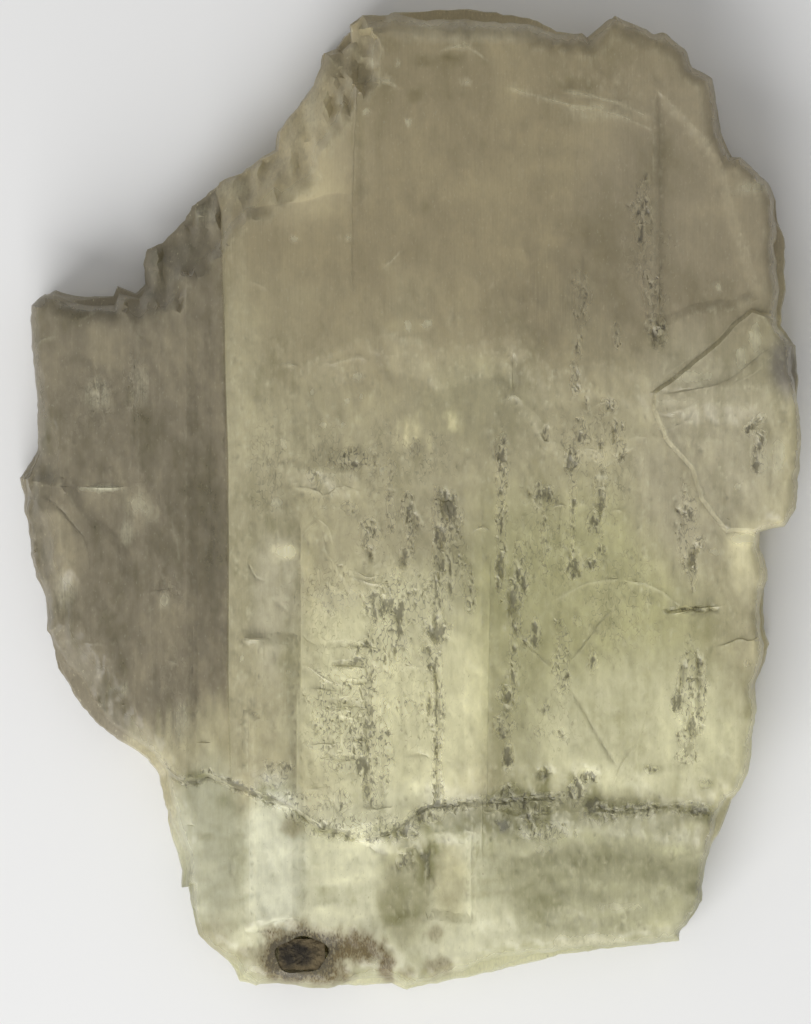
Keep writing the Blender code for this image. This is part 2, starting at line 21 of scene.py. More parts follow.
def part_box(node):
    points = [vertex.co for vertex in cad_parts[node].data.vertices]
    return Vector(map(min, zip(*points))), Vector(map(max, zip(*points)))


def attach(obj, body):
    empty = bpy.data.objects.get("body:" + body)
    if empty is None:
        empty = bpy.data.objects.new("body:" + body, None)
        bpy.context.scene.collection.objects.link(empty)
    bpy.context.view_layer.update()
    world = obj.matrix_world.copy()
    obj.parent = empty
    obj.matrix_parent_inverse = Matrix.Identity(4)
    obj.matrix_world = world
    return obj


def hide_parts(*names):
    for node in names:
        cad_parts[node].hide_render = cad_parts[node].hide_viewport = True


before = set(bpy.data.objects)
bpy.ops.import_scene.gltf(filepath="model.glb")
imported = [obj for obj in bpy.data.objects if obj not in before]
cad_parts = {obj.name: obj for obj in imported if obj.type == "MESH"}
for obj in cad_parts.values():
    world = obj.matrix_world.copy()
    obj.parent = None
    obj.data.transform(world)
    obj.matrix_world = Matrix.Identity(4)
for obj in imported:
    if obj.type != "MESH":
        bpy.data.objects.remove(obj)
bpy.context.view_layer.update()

MM = 0.001
PIXELS_PER_MM = 4.0
PHOTO_MIDDLE = (409.0, 501.0)
TINT_GAIN = 1.46
TINT_POWER = 0.80
SHARP_DEGREES = 32.0

LOG = logging.getLogger("crystal")

Place = tuple[float, float]
Places = tuple[Place, ...]
Masks = dict[str, np.ndarray]


class Form(Enum):
    """How a mark lies on the face: a step beside a line, or a line itself."""

    SCARP = "scarp"
    LINE = "line"


class Patch(Enum):
    """What a patch of the face holds."""

    SOFT = "soft tone"
    BRUSHED = "dark, brushed along the crystal"
    DIRTY = "dirt in small pits"
    PALE = "pale splinters and flecks"
    HOLLOW = "a scooped hollow"
    # A painted highlight
    GLOW = "a bright patch, streaked along the crystal"
    STAIN = "a brown stain"


class Stretch(NamedTuple):
    """One stretch of the rim, with the width and drop of the bevel broken along it."""

    bevel: float
    drop: float
    points: Places


class Sheet(NamedTuple):
    """A cleavage sheet: what it adds to the thickness, and how wide its edge slopes.

    The slope widens to spread, where one is given, across the crystal's middle.
    """

    thickness: float
    slope: float
    ragged: float
    outline: Places
    spread: float = 0.0


class Pit(NamedTuple):
    """A dissolved pit, drawn out along the crystal's long axis."""

    x: float
    y: float
    half_width: float
    half_length: float
    depth: float


class Mark(NamedTuple):
    """A scratch, crack, lip or ledge. A scarp changes what lies to the right of its direction."""

    form: Form
    width: float
    relief: float
    tone: float
    points: Places


def scarp(width: float, relief: float, tone: float, *points: Place) -> Mark:
    """A step beside a line."""
    return Mark(Form.SCARP, width, relief, tone, points)


def stroke(width: float, relief: float, tone: float, *points: Place) -> Mark:
    """A line itself."""
    return Mark(Form.LINE, width, relief, tone, points)


class Spot(NamedTuple):
    """A patch of the face: its kind, how strong it is, its middle and its half sizes."""

    patch: Patch
    strength: float
    x: float
    y: float
    half_width: float
    half_height: float

    @classmethod
    def table(cls, patch: Patch, rows: Sequence[Sequence[float]]) -> "tuple[Spot, ...]":
        """Patches of one kind, from rows of their strength in hundredths, middle and half sizes."""
        return tuple(cls(patch, strength / 100, *place) for strength, *place in rows)


class Zone(NamedTuple):
    """A wide zone of one tint, with its middle, half sizes, edge softness and colour."""

    x: float
    y: float
    half_width: float
    half_height: float
    softness: float
    colour: tuple[int, int, int]


# The rim, anticlockwise from the top of the left shoulder
RIM = (
    Stretch(12.0, 10.5, (
        (-16.5, 116.5), (-18.5, 113.5), (-22, 112.5), (-22.5, 109), (-24, 104), (-25.5, 101.5), (-31, 95),
        (-33, 92.5), (-33.5, 88), (-36.5, 86.5), (-42, 82), (-47.5, 79.8), (-49, 78), (-54.5, 74),
        (-56, 70.3), (-62, 64.8), (-65.5, 63), (-66.5, 59.3), (-66, 54.3),
    )),
    Stretch(4.5, 3.5, (
        (-68.5, 52), (-73, 53.8), (-74, 51.5), (-84, 51.5), (-88.8, 53), (-91.3, 52), (-94.5, 49),
        (-94.5, 41), (-93.5, 31), (-92.8, 21.5),
    )),
    Stretch(8.0, 6.5, (
        (-93, 15.5), (-94, 11.8), (-98, 5.8), (-97, 1.5), (-96.8, -2.8), (-95.5, -5.8), (-95, -13.3),
        (-93.5, -19.3), (-91.3, -24), (-90.8, -32.5), (-88.8, -37.5), (-87.8, -41.8), (-85.3, -46),
        (-81.8, -51.5), (-77.5, -56.5),
    )),
    Stretch(4.0, 4.0, (
        (-70.5, -61.5), (-65.5, -64.8), (-63, -68), (-61.3, -76.3), (-59.8, -82.8), (-58.3, -88.5),
        (-57, -92.8), (-57.3, -97), (-55.8, -96.3), (-54, -103.3), (-52.8, -108.3), (-50, -111.8),
        (-46.3, -115), (-43.8, -118.3), (-42.5, -120.8),
    )),
    Stretch(3.6, 3.2, (
        (-38.5, -121.8), (-32.8, -120.5), (-24, -121.8), (-9.8, -121.8), (-4.3, -121.3), (-0.5, -123.3),
        (7, -121), (12.8, -119.5), (23.3, -117.8), (31.5, -115.8), (37.5, -114), (48.8, -112.5),
        (61.3, -111.3), (67.8, -110.3),
    )),
    Stretch(3.2, 3.4, (
        (67.8, -108.5), (71.5, -103.3), (73.3, -100), (73.3, -96.5), (74.8, -89), (78.8, -80.3),
        (81, -74.8), (82.5, -72.5), (84.8, -68), (86, -59), (87.3, -52.8), (87.3, -46), (90.3, -38.3),
        (90.5, -36), (89.3, -31.5), (89.5, -22), (90.5, -19.8), (89.5, -15.3), (88, -11.5), (88, -7.8),
    )),
    Stretch(2.6, 2.6, (
        (93.8, -6.5), (96.5, -1.8), (97, 5.3), (97.8, 14), (97.3, 22.8), (97.8, 31.5), (97, 39), (93.3, 44),
    )),
    Stretch(3.6, 3.8, (
        (93.3, 48), (94.5, 52.8), (94, 57.3), (94.5, 64.3), (92.8, 70.3), (92.5, 75.5), (90.3, 80),
        (83.5, 86.5), (81.3, 86.5), (79, 91.3), (77, 101.8), (75.8, 105.5), (70.8, 108.3),
    )),
    Stretch(5.0, 4.4, (
        (68.8, 112.8), (63.5, 116.8), (61.3, 116.5), (55.5, 119.3), (51.3, 121), (48.8, 119.3),
        (44.3, 115.5), (43, 117), (37, 117.5), (30.3, 121), (15.3, 123.3), (-3.5, 122.5), (-11.8, 121.5),
        (-15, 119.3),
    )),
)

# The ledge across the lower third, from the left rim to where its two terraces part
LEDGE = (
    (-64.5, -64.5), (-56.3, -70), (-51, -68.5), (-43.5, -70.3), (-38.5, -72.5), (-29.3, -75.8),
    (-25.8, -78.5), (-22.3, -81.8), (-7.3, -83.5), (-2.3, -81), (2.8, -76.8),
)

FIELD_SHEET = Sheet(2.2, 1.0, 0.8, (
    (-130, 140), (-130, -64.5), *LEDGE, (5.3, -78.5), (17.8, -82.8), (37.8, -84.3),
    (57.8, -83.8), (78.3, -81.5), (130, -81.5), (130, 140),
), 17.0)
MAIN_SHEET = Sheet(3.6, 0.5, 0.6, (
    (-53, 140), (-49.5, 84), (-46.8, 72), (-45, 5), (-45, -42), (-44.7, -56),
    (-44.3, -69.5), *LEDGE[4:], (7, -75.5), (22.8, -74.8), (37.8, -73.5), (57.8, -74.8),
    (77.8, -78.5), (130, -78.5), (130, 140),
), 18.0)
SHEETS = (
    FIELD_SHEET,
    MAIN_SHEET,
    # The strip between the long step and the second one, and the head, which wedges out downwards
    Sheet(2.0, 8.0, 0.5, (
        (-51, 140), (-48, 84), (-45.5, 72), (-43.8, 5), (-43.8, -42), (-43.5, -56), (-43, -68),
        (-37.5, -70.5), (-27.8, -74), (-27.8, -46), (-26.8, -46), (-26.8, -1), (-29.5, 0.5), (-29.5, 4),
        (-12, 4.5), (-12.5, 9), (-25.3, 11), (-25.3, 29), (-15, 34), (-6, 37), (8, 32), (24, 36), (34, 27),
        (48, 30), (60, 24), (130, 22), (130, 140),
    ), 9.0),
    # Low sheets on the darker left lamella
    Sheet(0.9, 2.6, 0.8, (
        (-68.5, 140), (-68.5, 8), (-66, -20), (-64, -80), (-54, -80), (-54, 140),
    )),
    Sheet(0.6, 2.4, 1.2, (
        (-130, 20), (-86, 4), (-79, -4), (-70, -14), (-71, -24), (-80, -36), (-130, -40),
    )),
    # The narrow sheet that crosses the ledge
    Sheet(1.1, 3.0, 0.6, (
        (-40.5, -34), (-37.8, -34.5), (-37.8, -52.8), (-39.8, -52.8), (-39.8, -106), (-27.5, -105),
        (-27.5, -78), (-29, -34),
    )),
    # Shallow panels between the long faint steps
    Sheet(-0.3, 3.2, 0.7, ((-16.8, -42), (-16.8, -79), (7, -73), (7, -40))),
    Sheet(-0.7, 3.0, 1.0, (
        (19.5, -76), (58, -76), (58, 14), (39, 9), (25.5, 27), (25.5, 36), (19.5, 4),
    )),
    Sheet(-0.8, 2.6, 1.0, ((62, 45), (86, 50), (76, 84), (62, 101))),
    Sheet(-0.9, 2.4, 0.8, ((5.3, -84), (15.5, -83.5), (15.5, -104), (5.3, -103))),
    Sheet(1.0, 4.0, 1.5, ((15.5, -91), (60, -89), (66, -96), (44, -104), (16, -106))),
    # The broken hollow round the clay
    Sheet(-1.1, 4.0, 1.6, (
        (-44, -112), (-36, -107), (-28, -106), (-16, -108), (-8, -110), (-1, -116), (2, -130), (-50, -130),
    )),
    # The side crystal: its lowest ledge, and the faceted rise to its crest
    Sheet(1.6, 1.0, 0.3, (
        (60.8, 27), (69, 32.8), (74.8, 37.8), (80.3, 43.3), (84.8, 47), (90, 45.5), (130, 45), (130, -7.5),
        (79, -7.5), (72.8, 0.3), (70.3, 7.8), (64, 15.3), (60.8, 22.8),
    )),
    Sheet(2.6, 16.0, 0.3, (
        (75, 24), (80, 31), (87, 38), (130, 42), (130, -3), (92, 2), (82, 10),
    )),
)

# Sheets that are missing from the back
BACK_SHEETS = (
    Sheet(1.6, 0.6, 1.0, (
        (-130, 60), (-78, 58), (-78, 6), (-71, -14), (-71, -70), (-130, -70),
    )),
    Sheet(2.4, 0.6, 1.0, ((60, 140), (60, 84), (72, 60), (130, 50), (130, 140))),
    Sheet(1.3, 0.6, 1.0, (
        (52, -130), (52, -92), (66, -70), (66, -30), (130, -20), (130, -130),
    )),
    Sheet(1.8, 0.6, 1.0, ((-60, -130), (-60, -98), (-36, -104), (-8, -112), (-8, -130))),
)

PITS = tuple(Pit(*row) for row in (
    (9.5, -1, 2, 3.2, 1.6), (8.3, -8, 1.4, 3.6, 1.4), (8, -16, 1.3, 3.8, 1.2), (1.8, -4.8, 1.2, 3, 0.9),
    (-9.8, -13.5, 1.6, 3, 1), (-1.3, -14.5, 1, 2.4, 0.9), (7, -31, 1.4, 5.5, 1.3), (-6, -26, 2.2, 3, 1.2),
    (-10.8, -72.3, 1.3, 3, 1), (22.8, -15.5, 1.3, 3.6, 1.1), (26, -24.5, 1.5, 4, 1.3),
    (24, -47, 1.2, 6, 1.3), (24.8, -63, 1.4, 5, 1.3), (30.3, 1.5, 1.2, 3, 0.8), (41.5, -14.8, 1.6, 4, 1.1),
    (47.8, -1, 1.4, 4, 1), (50.8, 15.3, 1.1, 4, 0.8), (44, 25.3, 1, 3.5, 0.7), (34, 16.5, 1, 3, 0.7),
    (66.5, -4, 1.4, 4, 1), (70.3, -13, 1.5, 3, 1.1), (60.8, 41.5, 1.8, 3.4, 1.2), (72.3, -42, 1.2, 6, 1.1),
    (70.3, -56, 1.3, 4, 1), (5, -50, 1, 5, 0.9), (34, -67.5, 3, 1.8, 1.2), (44.5, -68.5, 3.5, 2, 1.2),
    (0, -89.5, 3.4, 3.5, 1.4), (69.8, -27, 7, 1, 1.2), (85.3, 18.5, 1.5, 1, 0.8), (85.8, 12.5, 1, 3, 0.9),
))

# The lines on the upper face, in pixels of the photograph
MARKS = (
    # Faint steps along the crystal: the side to the right of each line's direction is raised
    scarp(9, 0.1, 0.13, (302, 690), (302, 640), (302, 513)),
    scarp(6, 0, -0.13, (302, 513), (302, 640), (302, 690)),
    scarp(8, 0.1, 0.12, (298, 795), (298, 688)),
    scarp(6, 0, -0.12, (298, 688), (298, 795)),
    scarp(5, 0.1, 0.05, (308, 456), (308, 386)),
    scarp(5, 0.12, 0.07, (342, 757), (342, 665)),
    scarp(8, -0.12, -0.1, (486, 806), (489, 640), (490, 560)),
    scarp(6, 0, 0.12, (490, 560), (489, 640), (486, 806)),
    scarp(6, 0.1, 0.16, (45, 497), (62, 508), (74, 525), (88, 540), (92, 575)),
    stroke(0.35, -0.25, -0.5, (45, 497), (62, 508), (74, 525), (88, 540)),
    stroke(0.3, -0.2, -0.35, (40, 486), (60, 487), (84, 486)),
    stroke(0.8, 0.05, 0.85, (83, 489), (100, 489), (120, 490)),
    stroke(0.5, 0.15, 0.3, (80, 322), (92, 316), (101, 309)),
    stroke(0.4, 0.1, 0.28, (38, 350), (40, 342), (52, 338), (62, 336)),
    stroke(0.35, 0.1, 0.22, (158, 500), (160, 514), (155, 522), (148, 520)),
    stroke(0.3, 0.1, 0.2, (170, 515), (177, 530), (180, 550), (181, 566)),
    stroke(0.35, -0.2, -0.3, (136, 340), (137, 420), (133, 470)),
    scarp(7, 0.15, 0.14, (471, 830), (471, 925)),
    scarp(7, -0.15, -0.12, (482, 865), (482, 800)),
    scarp(3, -0.25, -0.14, (512, 396), (511, 354)),
    scarp(9, 0.1, 0.07, (635, 575), (638, 550), (641, 520), (641, 444)),
    scarp(6, -0.15, -0.05, (657, 322), (658, 210), (656, 95)),
    scarp(6, -0.2, -0.06, (352, 292), (353, 180), (359, 60)),
    scarp(4, -0.1, -0.05, (384, 330), (384, 285)),
    scarp(7, 0.12, 0.12, (250, 925), (250, 712)),
    scarp(5, -0.05, -0.05, (250, 700), (250, 925)),
    scarp(5, -0.05, -0.14, (481, 832), (478, 855), (470, 878)),
    scarp(2.5, 0.12, 0.06, (258, 705), (258, 638)),
    scarp(4, 0.1, 0.07, (197, 775), (197, 700)),
    scarp(4, 0.1, 0.07, (136, 735), (136, 636)),
    scarp(4, 0.1, 0.08, (195, 675), (195, 620)),
    scarp(3.5, 0.08, 0.05, (162, 700), (162, 560), (160, 330)),
    scarp(3, 0.08, 0.04, (186, 620), (186, 420), (187, 300)),
    scarp(3.5, -0.08, -0.05, (212, 640), (211, 450), (210, 300)),
    scarp(3, 0.08, 0.05, (747, 418), (747, 376)),
    scarp(3, 0.06, 0.04, (430, 915), (430, 860)),
    scarp(3, 0.05, 0.04, (464, 780), (464, 650)),
    scarp(3, 0.05, 0.04, (560, 560), (560, 470)),
    scarp(3.5, 0.05, 0.05, (420, 780), (420, 690)),
    # Ledges across the crystal: what lies above each one falls away, with a painted shadow brushed along
    # the crystal above it
    scarp(2.1, -0.16, -0.52, (271, 637), (244, 637)),
    scarp(1.9, -0.22, -0.45, (369, 667), (350, 665), (331, 665)),
    scarp(1.3, -0.2, -0.4, (378, 647), (362, 645), (348, 648)),
    scarp(1.6, -0.2, -0.4, (338, 690), (320, 688), (308, 687)),
    scarp(1.2, -0.2, -0.4, (366, 707), (352, 705), (336, 707)),
    scarp(1.4, -0.18, -0.3, (336, 743), (322, 741), (309, 744)),
    scarp(1, -0.18, -0.35, (342, 750), (333, 755), (322, 757)),
    scarp(1.4, -0.2, -0.45, (393, 804), (372, 808), (356, 804)),
    scarp(1.8, -0.34, -0.5, (719, 605), (698, 607), (681, 608), (663, 612)),
    scarp(1, -0.3, -0.35, (212, 742), (198, 741)),
    scarp(2.4, -0.12, -0.16, (361, 492), (340, 484), (325, 498), (318, 489), (291, 487)),
    scarp(2.5, 0.35, 0.12, (637, 445), (614, 461), (600, 470)),
    scarp(2.6, 0.35, 0.14, (714, 646), (727, 642), (737, 637), (748, 641), (762, 634)),
    scarp(3, 0.3, 0.1, (83, 487), (104, 488), (127, 487)),
    scarp(3, 0.2, 0.08, (150, 592), (160, 590), (176, 588)),
    scarp(2.8, 0.05, 0.16, (353, 197), (332, 195), (308, 204), (275, 207), (246, 210)),
    scarp(3, 0.05, -0.1, (353, 60), (354, 110), (353, 150), (355, 190)),
    stroke(0.8, -0.1, -0.35, (252, 190), (246, 200), (247, 214), (253, 228)),
    stroke(0.9, -0.1, -0.28, (361, 137), (359, 152), (361, 176), (362, 212)),
    stroke(0.7, -0.1, -0.3, (310, 92), (318, 76), (324, 84)),
    stroke(0.5, 0.06, 0.4, (437, 56), (452, 50), (466, 50), (478, 58), (488, 66)),
    stroke(0.55, -0.2, -0.45, (38, 500), (42, 530), (46, 560), (52, 605)),
    stroke(0.5, -0.2, -0.4, (33, 516), (36, 545), (40, 575), (48, 612)),
    stroke(0.5, -0.15, -0.35, (46, 596), (52, 625), (58, 660), (66, 690)),
    stroke(0.4, -0.15, -0.3, (55, 590), (58, 606), (60, 622)),
    scarp(2, -0.35, -0.3, (457, 507), (450, 500), (443, 503), (436, 497), (432, 509)),
    # A painted shade along the side crystal's sloping edge, where the lamp lights it
    stroke(1.1, 0, -0.42, *(
        (656, 402), (663, 425), (680, 455), (693, 475), (700, 500), (722, 525), (745, 530),
    )),
    # Raised pale edges, each with a painted highlight along it
    stroke(0.28, 0.12, 0.7, (246, 639), (268, 639)),
    stroke(0.35, 0.1, 0.6, (328, 668), (350, 668), (361, 670)),
    stroke(0.3, 0.2, 0.5, (666, 614), (690, 610), (708, 608)),
    stroke(0.35, 0.22, 0.6, (302, 663), (309, 665), (320, 674), (330, 680), (341, 683)),
    stroke(0.3, 0.2, 0.5, (407, 662), (414, 665), (420, 666)),
    stroke(0.3, 0.18, 0.35, (320, 708), (341, 710), (352, 709)),
    stroke(0.3, 0.18, 0.4, (302, 788), (315, 788), (330, 786)),
    stroke(0.4, 0.3, 0.55, (505, 406), (508, 398), (514, 396), (520, 400), (522, 407)),
    stroke(0.4, 0.3, 0.55, (472, 534), (476, 529), (484, 527), (490, 532)),
    stroke(0.45, 0.3, 0.5, (383, 272), (392, 262), (402, 252)),
    stroke(0.4, 0.25, 0.55, (280, 366), (289, 366), (300, 367)),
    stroke(0.35, 0.25, 0.45, (326, 363), (331, 366), (345, 362), (361, 358), (368, 362)),
    stroke(0.3, 0.15, 0.3, (248, 283), (258, 285), (270, 292)),
    stroke(0.3, 0.2, 0.35, (303, 536), (309, 527), (316, 521)),
    stroke(0.3, 0.15, 0.3, (318, 519), (327, 524), (332, 534), (334, 545)),
    stroke(0.3, 0.15, 0.28, (321, 530), (324, 540), (327, 552), (334, 563)),
    stroke(0.3, 0.18, 0.4, (345, 569), (356, 572), (368, 578), (380, 575)),
    stroke(0.3, 0.18, 0.4, (350, 576), (362, 580), (374, 584), (388, 583)),
    stroke(0.3, 0.18, 0.35, (371, 568), (376, 565), (384, 561)),
    stroke(0.3, 0.2, 0.45, (551, 600), (572, 589), (586, 583), (604, 580), (622, 578)),
    stroke(0.3, 0.2, 0.4, (622, 580), (640, 582), (658, 590), (671, 599), (678, 604)),
    stroke(0.25, 0.15, 0.35, (612, 610), (601, 619), (586, 641), (570, 662)),
    stroke(0.25, 0.15, 0.3, (530, 648), (541, 659), (551, 667)),
    stroke(0.25, 0.12, 0.25, (611, 786), (620, 763), (634, 745), (646, 722), (658, 704)),
    stroke(0.25, 0.12, 0.25, (645, 708), (638, 731), (636, 753), (638, 774)),
    stroke(0.3, 0.2, 0.4, (575, 505), (580, 503), (586, 504)),
    stroke(0.3, 0.2, 0.4, (610, 511), (616, 509), (622, 511)),
    stroke(0.3, 0.2, 0.4, (594, 407), (600, 404), (606, 402)),
    stroke(0.35, 0.25, 0.45, (600, 418), (606, 414), (611, 414)),
    stroke(0.3, 0.2, 0.4, (598, 537), (603, 533), (608, 528)),
    stroke(0.3, 0.2, 0.4, (552, 507), (559, 505), (566, 507)),
    stroke(0.3, 0.15, 0.3, (85, 643), (97, 643), (108, 645)),
    stroke(0.3, 0.15, 0.35, (169, 661), (174, 661), (179, 662)),
    stroke(0.3, 0.2, 0.35, (85, 487), (104, 488), (126, 487)),
    stroke(0.45, 0.08, 0.5, (505, 90), (530, 98), (560, 107), (600, 112), (655, 135)),
    stroke(0.55, 0.08, 0.5, (560, 95), (590, 99), (622, 108), (650, 122)),
    stroke(0.6, 0.06, 0.4, (366, 82), (376, 84), (392, 88), (402, 94)),
    stroke(0.3, 0.05, 0.14, (652, 400), (675, 401), (690, 399)),
    stroke(0.3, 0.05, 0.14, (653, 413), (670, 414), (684, 410), (697, 401)),
    stroke(0.3, 0.05, 0.14, (652, 428), (664, 431), (676, 426), (688, 421)),
    stroke(0.3, 0.05, 0.12, (651, 436), (660, 441), (672, 434)),
    scarp(1.6, -0.2, -0.28, (769, 347), (749, 363), (731, 379), (713, 386), (695, 390), (666, 395)),
    stroke(0.3, 0.12, 0.25, (731, 384), (748, 377), (759, 367), (770, 356)),
    stroke(0.3, 0.1, 0.25, (653, 391), (660, 380), (678, 365), (695, 356), (713, 341)),
    stroke(0.4, 0.1, 0.35, (713, 341), (729, 328), (749, 314), (754, 313), (765, 323), (772, 345)),
    # Dark cracks and scratches
    stroke(0.55, -0.25, -0.8, *(
        (158, 761), (170, 772), (181, 779), (198, 782), (208, 776), (216, 777), (235, 781), (249, 790),
        (272, 798), (288, 801), (298, 811), (310, 820), (325, 829), (345, 831), (362, 836), (380, 836),
        (400, 826), (420, 809), (437, 803),
    )),
    stroke(0.6, -0.35, -0.6, (437, 803), (470, 801), (500, 799), (530, 797), (560, 796)),
    stroke(0.6, -0.3, -0.45, (594, 806), (620, 811), (650, 806), (672, 802), (700, 806), (722, 822)),
    stroke(0.6, -0.5, -0.65, (436, 662), (437, 690), (440, 715), (438, 745), (437, 775), (438, 803)),
    stroke(0.8, -0.5, -0.6, (367, 693), (370, 715), (366, 733), (370, 754), (368, 778), (372, 800)),
    stroke(0.35, -0.3, -0.55, (613, 608), (602, 616), (586, 639), (570, 659)),
    stroke(0.45, -0.3, -0.55, (568, 686), (582, 709), (593, 729), (606, 751), (615, 767)),
    stroke(0.45, -0.2, -0.35, (517, 636), (526, 643), (534, 651), (541, 658)),
    stroke(0.3, -0.2, -0.3, (611, 783), (616, 772), (620, 760), (634, 742)),
    stroke(0.85, -0.6, -0.8, (683, 658), (682, 681), (674, 705)),
    stroke(0.7, -0.45, -0.6, (686, 679), (694, 676), (700, 684), (699, 702), (697, 718)),
    stroke(0.7, -0.4, -0.5, (694, 722), (691, 735), (688, 748), (680, 753)),
    stroke(0.6, -0.4, -0.75, (745, 430), (751, 424), (758, 419)),
    stroke(0.65, -0.45, -0.8, (757, 436), (755, 452), (753, 468)),
    stroke(0.5, -0.25, -0.45, (274, 597), (280, 604), (289, 611)),
    stroke(0.35, -0.25, -0.4, (248, 560), (252, 570), (260, 580), (268, 579)),
    stroke(0.45, -0.25, -0.4, (523, 695), (526, 705), (528, 713)),
    stroke(0.5, -0.3, -0.45, (672, 552), (672, 566), (670, 579)),
    stroke(0.55, -0.3, -0.5, (702, 538), (694, 546), (692, 558), (686, 566), (691, 574)),
    stroke(0.45, -0.35, -0.5, (164, 764), (168, 785), (176, 808), (182, 829)),
    stroke(0.6, -0.3, -0.45, (231, 856), (232, 866), (233, 877)),
    stroke(0.35, -0.25, -0.4, (263, 924), (280, 919), (298, 917)),
    stroke(0.35, -0.2, -0.3, (304, 634), (308, 640), (317, 643)),
    stroke(0.35, -0.2, -0.3, (265, 640), (266, 652), (268, 662)),
    stroke(0.35, -0.2, -0.3, (274, 646), (277, 655), (275, 664)),
    stroke(0.4, -0.25, -0.35, (339, 815), (337, 806), (334, 797)),
    stroke(0.45, -0.25, -0.4, (384, 775), (383, 790), (386, 802)),
    stroke(0.4, -0.25, -0.4, (404, 755), (412, 753), (424, 752), (432, 760)),
    stroke(0.3, -0.15, -0.3, (652, 418), (660, 417), (673, 418)),
    stroke(0.35, -0.2, -0.3, (654, 394), (670, 393), (694, 388)),
    stroke(0.3, -0.15, -0.25, (277, 458), (277, 480), (276, 502)),
    stroke(0.3, -0.15, -0.2, (226, 235), (226, 400), (228, 560), (229, 670)),
)

